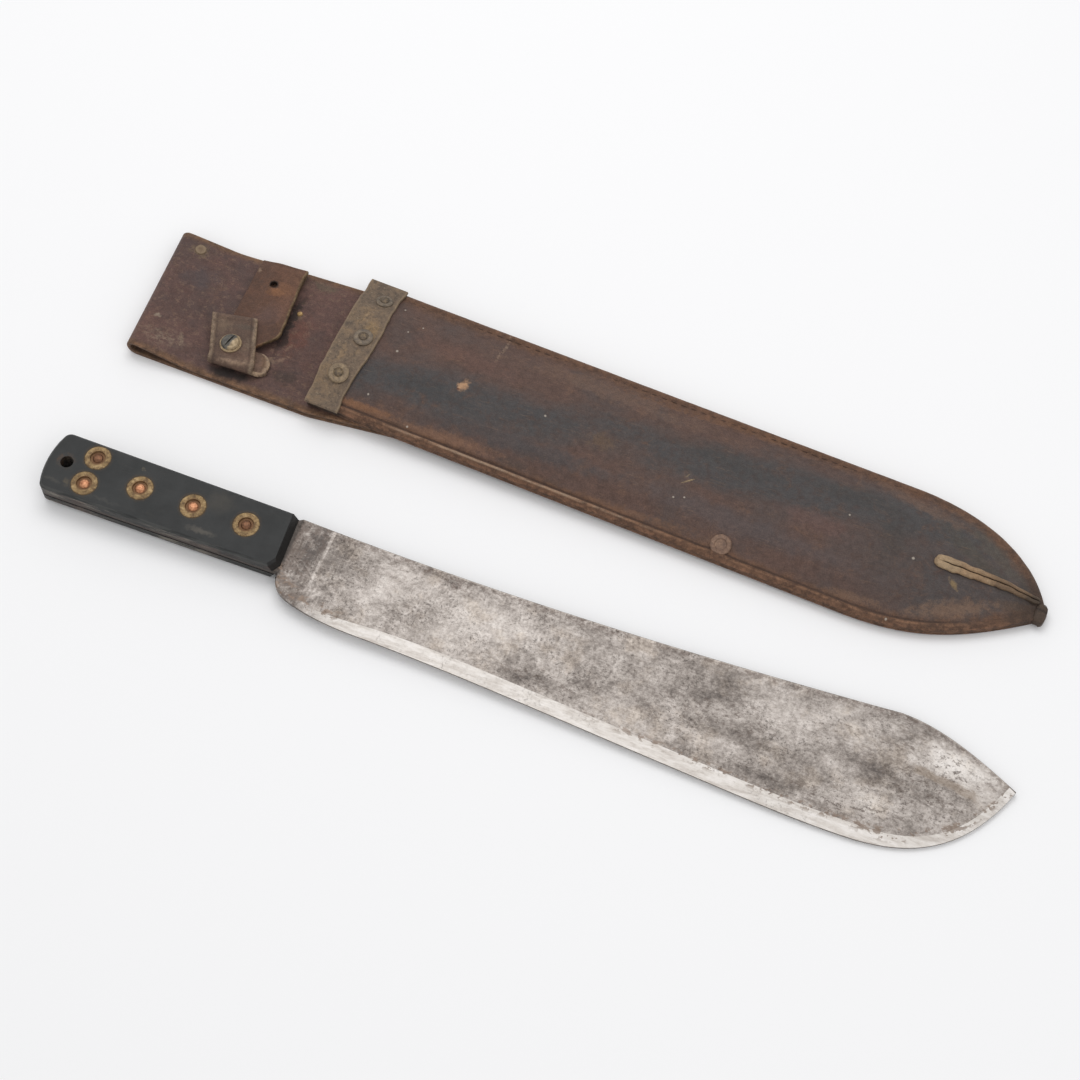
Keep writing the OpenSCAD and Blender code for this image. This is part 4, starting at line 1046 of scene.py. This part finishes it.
def seam_piece():
    """Two lips of turned-out leather, uneven, with rounded ends and a dark gap: painted shade in the gap and
    under the lips.
    """
    points, faces, edge, dirt = [], [], [], []
    steps, around = 90, 16
    start, end = (L - 58.5, 1.9), (L - 3.0, 2.6)
    for sign in (-1, 1):
        base = len(points)
        for k in range(steps + 1):
            t = k / steps
            x = mix(start[0] + (0 if sign < 0 else 0.4), end[0], t)
            y = mix(start[1], end[1], t)
            ends = sqrt(max(0.0, 1 - max(0, 1 - t / 0.045) ** 2))
            ends *= sqrt(max(0.0, 1 - max(0, 1 - (1 - t) / 0.06) ** 2))
            w = 4.2 * mix(1.0, 0.42, t) * mix(0.55, 1, ends)
            fine = 0.12 * wave(x / 2.2, sign * 9.0, 2.0) if sign < 0 else 0
            w *= 1 + 0.22 * wave(x / 6, sign * 5.0, 2.0) + fine
            h = (1.75 if sign > 0 else 1.55) * mix(0.3, 1, ends)
            yc = y + sign * (mix(-0.7, 0.08, smooth(t / 0.13)) + w / 2) + 0.3 * wave(x / 5, 3.0, 1.0)
            z0 = tip_dome(x, y) + 0.2 + 0.5 * smooth((t - 0.6) / 0.4)
            for j, (cy, cz) in enumerate(circle(around)):
                r_y = w / 2 * boxed(cy, 0.7)
                crown = 1 - 0.35 * (sign * cy + 1) / 2
                z = z0 + (h * crown * abs(cz) ** 0.8 if cz > 0 else -0.5 * abs(cz))
                z += 0.2 * wave(x / 3, yc / 3 + j, 4.0) + 0.12 * wave(x, yc + j, 8.0)
                points.append(pouch(x, yc + r_y, z))
                edge.append(3.0)
                # the sides facing the gap and the undersides get painted shade
                dirt.append(0.85 if (sign * cy < -0.75 and cz < 0.75) or cz < -0.1 else 0.0)
        faces += tube_faces(steps + 1, around, base, flip=True)
    mesh("seam_lips", points, faces, {"edge": edge, "dirt": dirt}, "sheath", seam_leather, ("tip_seam",))


seam_piece()


def cap_piece():
    """Boxy folded end at the very tip."""
    points, dirt = [], []
    rows, around = 22, 40
    for i in range(rows + 1):
        t = i / rows
        x = L - 4.2 + 6.9 * t
        f = max(0.05, (1 - abs(2 * t - 1) ** 4) ** 0.5)
        for cy, cz in circle(around):
            y = -2.0 - 0.6 * t + 5.9 * f * boxed(cy, 0.8)
            z = 3.6 + 3.35 * f * boxed(cz, 0.6)
            fold = 0.55 * hump(y, -1.0, 0.7) if cz > 0 else 0
            d = 0.45 * wave(x / 2.2, y / 2.2, z / 2.2) + 0.2 * wave(x, y, z)
            points.append(pouch(x, y + d, max(0.15, z + d - fold)))
            # darker all over, and much darker as painted shade in the fold's crease
            dirt.append(0.3 + 0.6 * (fold > 0.3))
    attrs = {"edge": [6.0] * len(points), "dirt": dirt}
    mesh("tip_fold", points, tube_faces(rows + 1, around), attrs, "sheath", nub_leather, ("tip_cap",))


cap_piece()


# Stitches


def stitch_piece():
    points, faces = [], []
    seg, around, long, gap = 6, 6, 3.4, 2.2
    for sign, reach in ((1, L - 88), (-1, L - 102)):
        for x in np.arange(BAND_W + 4, reach, long + gap):
            if sign < 0 and abs(x + long / 2 - SIDE_SPOT[0]) < 7.3:
                continue
            y0 = sign * (POUCH_HALF - 4.0)
            base = len(points)
            for i in range(seg + 1):
                t = i / seg
                r = 0.33 * sqrt(max(0.08, 1 - (2 * t - 1) ** 2))
                z0 = panel_height(x + long * t, y0, -POUCH_HALF, POUCH_HALF)[0] - 0.13
                points += [pouch(x + long * t, y0 + r * cy, z0 + r * cz) for cy, cz in circle(around)]
            faces += tube_faces(seg + 1, around, base)
    n = Nodes("thread")
    rest = n.attr("rest", True)
    n.color = n.mixc(n.noise(rest, 0.5, 3), (62, 49, 43), (88, 68, 56))
    look = n.finish(0.75, 0.0, n.noise(rest, 5.0, 2), 0.0001, 0.6, Specular_IOR_Level=0.2)
    mesh("stitches", points, faces, {}, "sheath", look, ("edge_stitching",))


stitch_piece()


# Metal of the machete


def blade_outline():
    """Lower and upper edge of the blade, as chains of curves that end at the tip."""
    def chain(points, shares, counts):
        points = points + [(x * BLADE_LEN, y * BLADE_W) for x, y in shares]
        curves = [bez(*points[3 * k:3 * k + 4], count) for k, count in enumerate(counts)]
        return curves[0] + [point for curve in curves[1:] for point in curve[1:]]

    low = chain([(1.6, 0.4 - GRIP_NEAR_FRONT), (1.6, -0.285 * BLADE_W)], (
        (0.0132, -0.342), (0.0345, -0.38), (0.058, -0.419), (0.085, -0.45), (0.127, -0.459),
        (0.278, -0.479), (0.437, -0.57), (0.596, -0.635), (0.694, -0.678), (0.747, -0.701), (0.811, -0.701),
        (0.896, -0.701), (0.959, -0.541), (1, 0)
    ), (6, 6, 8, 6, 12))[1:]
    high = chain([(2, GRIP_FAR_FRONT + 0.8)], (
        (0.278, 0.188), (0.556, 0.212), (0.837, 0.299), (0.885, 0.291), (0.933, 0.188), (1, 0)
    ), (8, 8))
    return low, high


def blade_gaps(n, x, y):
    """Distance from the lower and from the upper edge of the blade."""
    low, high = blade_outline()
    u = x / BLADE_LEN
    lows = [(a / BLADE_LEN, (b + 60) / 100) for a, b in low]
    highs = [(a / BLADE_LEN, (b + 60) / 100) for a, b in high]
    y_low = n.curve(u, [(0, lows[0][1])] + lows) * 100.0 - 60.0
    y_high = n.curve(u, [(0, highs[0][1])] + highs) * 100.0 - 60.0
    return y - y_low, y_high - y


def blade_clouds(n, p, x, y, q, flow, mottle, fine, guard):
    """One value from dark to light: clouds, mottling and fine grain, pushed by soft zones."""
    cloud = n.noise(flow, 0.035, 4, 0.6, 0.3)
    streak = n.noise(p, 1.6, 4, 0.7, turn=(0, 0, 0.04), stretch=(0.035, 1, 1))
    v = cloud * 0.26 + (mottle * 0.32 + 0.066)
    v = v + fine * 0.25
    v = v + streak * 0.07
    for place, size, push in (
        ((100, 0), (46, 13), 0.045), ((64, 9), (30, 6), 0.01), ((272, -4), (15, 14), 0.045),
        ((247, 3), (24, 6), 0.03), ((195, -8), (16, 26), -0.025), ((222, 0), (20, 26), -0.02),
        ((348, 3), (28, 10), 0.17), ((362, -6), (14, 10), 0.05), ((330, -28), (30, 10), 0.03),
        ((190, -22), (10, 6), 0.03), ((215, 4), (46, 14), -0.03), ((236, -18), (28, 8), -0.085),
        ((228, -4), (7, 3), -0.02), ((311, -12), (18, 10), -0.05), ((141, -25), (26, 5), -0.05),
        ((22, 0), (24, 30), -0.03), ((90, 12), (10, 4), -0.06), ((250, -34), (60, 4), -0.03),
    ):
        v = v + n.zone(q, place, size) * push
    # guard end: dark mottling, a bright line across and some light patches
    v = v - guard * 0.06
    line = n.line(x, 19.7 + y * 0.02, 0.4, 1.2)
    v = v + line * n.step(y, -17.0, -12.0) * 0.06
    v = v + n.zone(q, (9, 7), (4, 7)) * 0.06
    grind = n.noise(p, 0.9, 3, 0.6, turn=(0, 0, 0.08), stretch=(1, 0.08, 1))
    v = v + (grind - 0.5) * n.fall(x, 26.0, 46.0) * 0.12
    n.color = n.ramp(v, (0.405, (80, 73, 69)), (0.465, (117, 109, 103)), (0.515, (147, 139, 133)),
        (0.56, (170, 162, 156)), (0.62, (190, 183, 177)), (0.69, (208, 202, 197)))


def blade_spots(n, p, x, y, q, flow, mottle, guard, high_gap, pit):
    """Dark pits, rusty specks, the stained front and a dull strip near the tip."""
    gate = n.noise(flow, 0.05, 3, 0.6)
    pits = n.step(pit, 0.56, 0.66) * n.step(gate, 0.4, 0.62)
    n.paint(pits * 0.5, (84, 74, 68))
    worn = n.step(gate, 0.45, 0.7) * 0.5
    for place, size in (((336, -8), (44, 30)), ((310, 18), (30, 6)), ((234, -10), (46, 15)),
            ((148, -24), (34, 7)), ((66, 12), (24, 7)), ((150, 14), (30, 7)), ((300, -34), (60, 7))):
        worn = n.most(worn, n.zone(q, place, size, 0.3, 1.2))
    marks = n.patches(p, 0.545, 0.6, 0.46, 5, 0.75, move=(40, 9, 0), stretch=(0.55, 1, 1))
    marks = marks * worn
    n.paint(marks * 0.7, (90, 79, 72))
    warm = n.patches(p, 0.5, 0.66, 0.045, 5, 0.7, move=(2, 60, 0)) * 0.7
    n.paint(warm, (1.0, 0.955, 0.89, 1), "MULTIPLY")
    dots = n.patches(p, 0.62, 0.7, 1.5, 3, 0.6, move=(3, 8, 0))
    n.paint(dots * 0.4, (92, 82, 76))
    rust = n.most(n.zone(q, (72, 14.5), (14, 3.5)), n.zone(q, (91, 11), (10, 4)))
    rust = n.most(rust, guard * 0.6)
    rust = n.most(rust, n.fall(high_gap, 1.5, 5.0) * 0.7)
    n.paint(rust * (n.patches(p, 0.45, 0.55, 0.35, 5, 0.75) * 0.8), (88, 74, 66))
    front = n.fall(x + (mottle - 0.5) * 14.0, 2.0, 9.0)
    front = n.most(front * (1 - n.zone(q, (5, -4), (3, 7))), n.zone(q, (16, -21), (9, 3.5)))
    n.paint(front * 0.45, (92, 79, 71))
    edge_line = n.fall(x, 1.8, 3.4)
    n.paint(edge_line * 0.8, (52, 46, 42))
    px, py = x - 344.5, y + 7.0
    off = abs(py + px * 0.17 + (mottle - 0.5) * 7.0)
    strip = n.fall(off, 1.4, 3.0) * n.fall(abs(px), 13.0, 19.0)
    n.paint(strip * 0.6, (132, 118, 104))
    return pits


def blade_edges(n, p, x, mottle, low_gap, high_gap):
    """Ground bevel and the plate's sides, told apart by their height over the middle."""
    h = abs(n.dot(p, TILT))
    thin = n.fall(h, 1.56, 1.588, False)
    spine = n.fall(high_gap, 0.5, 0.9, False)
    body = n.step(h, 0.45, 0.5, False)
    bevel = thin * body * (1 - spine)
    bevel = bevel * n.step(x + (mottle - 0.5) * 20.0, 14.0, 44.0)
    tone = n.noise(p, 0.3, 5, 0.75, stretch=(0.2, 1, 1))
    bright = n.ramp(tone, (0.35, (186, 178, 171)), (0.5, (210, 204, 198)), (0.65, (225, 220, 216)))
    n.paint(bevel * 0.9, bright)
    upper = n.step(h, 1.15, 1.45, False) * n.fall(low_gap, 8.0, 10.5)
    tipward = n.step(h, 0.75, 1.15, False) * (thin * n.step(x, 300.0, 325.0))
    upper = upper * n.most(n.step(x, 150.0, 210.0), n.fall(x, 34.0, 46.0))
    border = n.most(upper, tipward) * (1 - spine)
    spots = n.noise(p, 0.36, 3, 0.6, stretch=(0.7, 1, 1))
    n.paint(border * (n.step(spots, 0.53, 0.58) * 0.75), (118, 101, 88))
    # light rim on the spine, dark narrow sides
    rim = n.fall(high_gap, 0.3, 1.1)
    n.paint(rim * (n.patches(p, 0.4, 0.55, 0.12, 4, 0.7) * 0.5), (206, 196, 186))
    sides = n.most(thin * spine, 1 - body)
    n.paint(sides * 0.8, (84, 74, 68))


def blade_material():
    n = Nodes("blade_steel")
    p = n.millimetres(-BLADE_MID_Z)
    x, y = n.split(p)[:2]
    low_gap, high_gap = blade_gaps(n, x, y)
    q = n.warp(p, x, y, 0.07, 40.0, 18.0)
    flow = n.shift(p, scale=(0.8, 1, 1))
    mottle = n.noise(flow, 0.2, 7, 0.75)
    fine = n.noise(p, 0.7, 6, 0.8, stretch=(0.85, 1, 1))
    guard = n.fall(x + (mottle - 0.5) * 16.0, 13.0, 22.0)
    blade_clouds(n, p, x, y, q, flow, mottle, fine, guard)
    pit = n.noise(p, 0.6, 6, 0.78)
    pits = blade_spots(n, p, x, y, q, flow, mottle, guard, high_gap, pit)
    blade_edges(n, p, x, mottle, low_gap, high_gap)
    rough = 0.4 + n.step(pit, 0.4, 0.7) * 0.22
    height = fine * 0.5 - pits * 0.8
    return n.finish(rough, 0.5, height, 0.00015, 0.8)


def handle_haze(n, p, q):
    """Near black board with light scuffs."""
    n.color = n.ramp(n.noise(p, 0.06, 5, 0.6), (0.35, (36, 37, 37)), (0.65, (46, 47, 47)))
    haze = n.noise(p, 0.07, 5, 0.7, move=(5, 3, 0), stretch=(0.5, 1, 1))
    n.paint(n.step(haze, 0.55, 0.7) * 0.3, (62, 60, 56))
    for place, size, shade, amount in (
        ((-40, 11), (10, 8), (78, 72, 64), 0.35), ((-42, -8), (9, 2.2), (100, 94, 86), 0.5),
        ((-118, -5.5), (2.2, 3), (98, 86, 68), 0.45), ((-126, -7), (5, 1.6), (88, 84, 78), 0.3),
        ((-96, -8.5), (12, 1.2), (78, 76, 72), 0.3), ((-84, 14.5), (1.3, 1), (100, 92, 76), 0.5),
    ):
        n.paint(n.zone(q, place, size) * amount, shade)


def handle_sides(n, p, x):
    """Rubbed lower side with scratches along it, lighter slope above it as a painted highlight, the far
    slope and the slope at the guard painted dark as shade.
    """
    geo = n.split(n.node("ShaderNodeNewGeometry", (), "True Normal"))
    side_face = n.step(abs(geo[2]), 0.5, 0.2, False)
    # near slope: lighter patches, a painted highlight
    slope = n.step(geo[1], -0.3, -0.5, False) * (1 - side_face)
    n.paint(slope * (n.patches(p, 0.35, 0.6, 0.6, 4, 0.7, stretch=(0.1, 1, 1)) * 0.5), (88, 88, 86))
    # far slope: painted near black as shade
    far_slope_shade = n.step(geo[1], 0.3, 0.6, False)
    n.paint(far_slope_shade * 0.8, (17, 16, 16))
    wear = n.noise(p, 1.3, 5, 0.75, stretch=(0.07, 1, 1))
    rubbed = n.most(n.fall(abs(x + 110.0), 12.0, 24.0), n.fall(abs(x + 50.0), 8.0, 26.0))
    n.paint(side_face * (0.22 + rubbed) * (n.step(wear, 0.47, 0.57) * 0.62), (136, 128, 117))
    rust = n.noise(p, 0.14, 4, 0.7, stretch=(0.3, 1, 1))
    n.paint(side_face * (n.step(rust, 0.52, 0.62) * 0.4), (84, 62, 54))
    # slope at the guard: painted dark as shade
    front = n.step(geo[0], 0.4, 0.6, False)
    n.paint(front * 0.7, (22, 20, 19))


def handle_material():
    n = Nodes("handle_board")
    p = n.millimetres()
    x, y = n.split(p)[:2]
    q = n.warp(p, x, y, 0.16, 14.0, 8.0)
    handle_haze(n, p, q)
    handle_sides(n, p, x)
    scratch = n.noise(p, 1.6, 2, turn=(0, 0, 0.3), stretch=(0.05, 1, 1))
    line = n.line(scratch, 0.5, 0.002, 0.012)
    n.paint(line * (n.patches(p, 0.5, 0.6, 0.05, 2) * 0.2), (96, 92, 88))
    # stain round each rivet
    ring = None
    for rx, ry in RIVETS:
        d = n.far(n.join(x - rx, y - ry)) + (n.noise(p, 0.35, 4, 0.7) - 0.5) * 3.0
        one = n.fall(d, 6.8, 8.6)
        ring = one if ring is None else n.most(ring, one)
    n.paint(ring * 0.5, (70, 56, 40))
    stain = n.zone(q, (-123.4, 5.4), (6.5, 5.5), 0.5, 1.0) * n.patches(p, 0.4, 0.6, 0.4, 4, 0.7)
    n.paint(stain * 0.6, (82, 64, 50))
    grain = n.noise(p, 3.0, 3, 0.6)
    n.paint(0.25, n.mixc(grain, (0.7, 0.7, 0.7, 1), (1.2, 1.2, 1.2, 1)), "MULTIPLY")
    rough = 0.42 + n.noise(p, 0.2, 4, 0.6) * 0.16
    height = grain * 0.4 - line * 0.4
    return n.finish(rough, 0.0, height, 0.0001, 0.5, Specular_IOR_Level=0.25)


RIVETS = [(-109.3, 12.9), (-109.3, -3.0), (-81.5, 4.3), (-51.9, 4.0), (-22.4, 3.6)]


def washer_material(k, spot):
    n = Nodes("washer_brass_%d" % k)
    p = n.millimetres()
    x, y = n.split(p)[:2]
    r = n.far(n.join(x - spot[0], y - spot[1]))
    moved = n.shift(p, move=(k * 13.0, 0, 0))
    tone = n.noise(moved, 0.3, 5, 0.75)
    n.color = n.ramp(tone, (0.34, (100, 81, 54)), (0.5, (134, 110, 74)), (0.64, (164, 140, 102)))
    rot = n.noise(moved, 0.55, 6, 0.78, move=(5, 7, 0))
    n.paint(n.step(rot, 0.47, 0.62) * 0.8, (84, 62, 42))
    ragged = r + (rot - 0.5) * 3.0
    dark = n.fall(ragged, 3.1, 4.9)
    n.paint(dark * 0.8, (98, 64, 40))
    rim = n.step(ragged, 6.3, 7.4)
    n.paint(rim * 0.6, (76, 58, 38))
    return n.finish(0.44 + rot * 0.25, 0.5, tone + rot, 0.0002, 0.7)


def copper_material(name, bright, dull):
    n = Nodes(name)
    p = n.local()
    tone = n.noise(p, 0.8, 4, 0.7)
    n.color = n.mixc(n.step(tone, 0.35, 0.65), dull, bright)
    return n.finish(0.3 + tone * 0.2, 0.7, tone, 0.00015, 0.5)


def old_brass(name, a, b, c, metal=0.5):
    n = Nodes(name)
    p = n.local()
    tone = n.noise(p, 0.5, 5, 0.7)
    n.color = n.ramp(tone, (0.34, a), (0.5, b), (0.66, c))
    speck = n.noise(p, 1.8, 4, 0.7)
    n.paint(n.step(speck, 0.55, 0.68) * 0.4, (70, 58, 44))
    return n.finish(0.45 + speck * 0.2, metal, tone + speck, 0.00018, 0.7)


def ring_look(name, spot, r0, inner, outer):
    """Rivet head with a darker middle."""
    n = Nodes(name)
    p = n.millimetres()
    x, y = n.split(p)[:2]
    r = n.far(n.join(x, y), (spot[0], spot[1], 0))
    tone = n.noise(p, 0.7, 5, 0.75)
    n.color = n.mixc(n.step(r + (tone - 0.5) * 6.0, r0 - 0.6, r0 + 1.0), inner, outer)
    n.paint(n.step(tone, 0.5, 0.62) * 0.5, inner)
    return n.finish(0.6, 0.2, tone, 0.0002, 0.8)


def dress(name, material, angle=32):
    o = nodes[name]
    o.data.materials.clear()
    o.data.materials.append(material)
    for p in o.data.polygons:
        p.use_smooth = True
    o.data.set_sharp_from_angle(angle=radians(angle))


board = handle_material()
dress("blade", blade_material(), 4)
for s in ("scale_top", "scale_bottom"):
    dress(s, board, 20)
    m = nodes[s].modifiers.new("soft_edges", "BEVEL")
    m.width = 0.00045
    m.segments = 3
    m.limit_method = "ANGLE"
    m.angle_limit = radians(25)
copper_bright = copper_material("copper_bright", (196, 142, 106), (142, 92, 64))
copper_dull = copper_material("copper_dull", (118, 82, 58), (88, 60, 43))
for k, spot in enumerate(RIVETS):
    look = washer_material(k + 1, spot)
    dress("washer_top_%d" % (k + 1), look)
    dress("washer_bottom_%d" % (k + 1), look)
    dress("rivet_%d" % (k + 1), copper_bright if k in (1, 2, 3) else copper_dull, 50)
washer_look = (
    old_brass("washer_a", (74, 66, 58), (99, 87, 74), (128, 113, 95), 0.3),
    old_brass("washer_b", (84, 75, 66), (106, 93, 79), (126, 111, 92), 0.3),
    old_brass("washer_c", (98, 84, 67), (124, 106, 84), (144, 125, 99), 0.3),
)
for k in range(3):
    dress("mouth_washer_%d" % (k + 1), washer_look[k])
    look = old_brass("mouth_rivet_look_%d" % k, (56, 48, 42), (92, 78, 62), (126, 106, 78), 0.3)
    dress("mouth_rivet_%d" % (k + 1), look, 50)
    dress("loop_rivet_%d" % (k + 1), copper_dull)
dress("side_rivet", old_brass("side_rivet_look", (88, 66, 54), (112, 86, 70), (136, 108, 86), 0.15), 50)
dress("corner_rivet", ring_look("corner_look", (-118.9, 157.2), 1.3, (100, 80, 60), (126, 107, 84)), 50)
dress("loop_tack", old_brass("tack_look", (120, 96, 60), (158, 128, 84), (180, 152, 108)), 50)
dress("stud_collar", old_brass("collar_look", (104, 86, 62), (146, 124, 94), (172, 152, 122), 0.35), 50)


def stud_look():
    """Worn head: dark grey on the left, rubbed brass on the right."""
    n = Nodes("stud_look")
    p = n.millimetres()
    x, y = n.split(p)[:2]
    tone = n.noise(p, 0.5, 5, 0.75)
    edge = x - STUD[0] + (y - STUD[1]) * (-0.25) + (tone - 0.5) * 3.0
    dark = n.ramp(tone, (0.35, (58, 56, 54)), (0.65, (98, 94, 86)))
    bright = n.ramp(tone, (0.35, (128, 108, 80)), (0.65, (176, 156, 126)))
    n.color = n.mixc(n.step(edge, 0.8, 2.4), dark, bright)
    return n.finish(0.4 + tone * 0.2, 0.4, tone, 0.0002, 0.7)


dress("stud_head", stud_look(), 50)


# Stage, light, camera


def floor_material():
    n = Nodes("floor_white")
    n.color = (247, 247, 248)
    return n.finish(0.9, Specular_IOR_Level=0.0)


bpy.ops.mesh.primitive_plane_add(size=8.0, location=(0, 0, 0))
floor = bpy.context.object
floor.name = "floor"
floor.data.materials.append(floor_material())

scene = bpy.context.scene
scene.view_settings.view_transform = "Standard"
world = bpy.data.worlds.new("studio")
scene.world = world
world.use_nodes = True
tree = world.node_tree


def lit_world(node, strength):
    node.inputs["Color"].default_value = (1, 1, 1, 1)
    node.inputs["Strength"].default_value = strength
    return node


# the camera and mirror-like surfaces see a brighter world than the one that lights the part
soft = lit_world(tree.nodes["Background"], 0.69)
white = lit_world(tree.nodes.new("ShaderNodeBackground"), 1.0)
path = tree.nodes.new("ShaderNodeLightPath")
either = tree.nodes.new("ShaderNodeMath")
either.operation = "MAXIMUM"
both = tree.nodes.new("ShaderNodeMixShader")
for start, end in (
    (path.outputs["Is Camera Ray"], either.inputs[0]), (path.outputs["Is Glossy Ray"], either.inputs[1]),
    (either.outputs[0], both.inputs[0]), (soft.outputs[0], both.inputs[1]),
    (white.outputs[0], both.inputs[2]),
    (both.outputs[0], tree.nodes["World Output"].inputs[0]),
):
    tree.links.new(start, end)


def lamp(name, place, size, power):
    """Area lamp that looks at the middle of the floor."""
    data = bpy.data.lights.new(name, "AREA")
    data.shape = "RECTANGLE"
    data.size, data.size_y = size
    data.energy = power
    o = bpy.data.objects.new(name, data)
    scene.collection.objects.link(o)
    o.location = place
    o.rotation_euler = (-Vector(place)).to_track_quat("-Z", "Y").to_euler()


lamp("key", (-0.3, 0.6, 1.35), (1.3, 0.9), 7.5)
lamp("fill", (0.9, -0.7, 1.3), (1.2, 1.2), 3.2)

cam_data = bpy.data.cameras.new("camera")
cam = bpy.data.objects.new("camera", cam_data)
scene.collection.objects.link(cam)
cam_data.sensor_width = 36.0
cam_data.lens = 70.0
cam_data.clip_start = 0.01
place = at(428.864 - 128, -448.397, 926.353) * MM
look = at(244.90 - 128, 53.80, 0) * MM
cam.location = place
cam.rotation_euler = (Vector(look) - Vector(place)).to_track_quat("-Z", "Y").to_euler()
scene.camera = cam
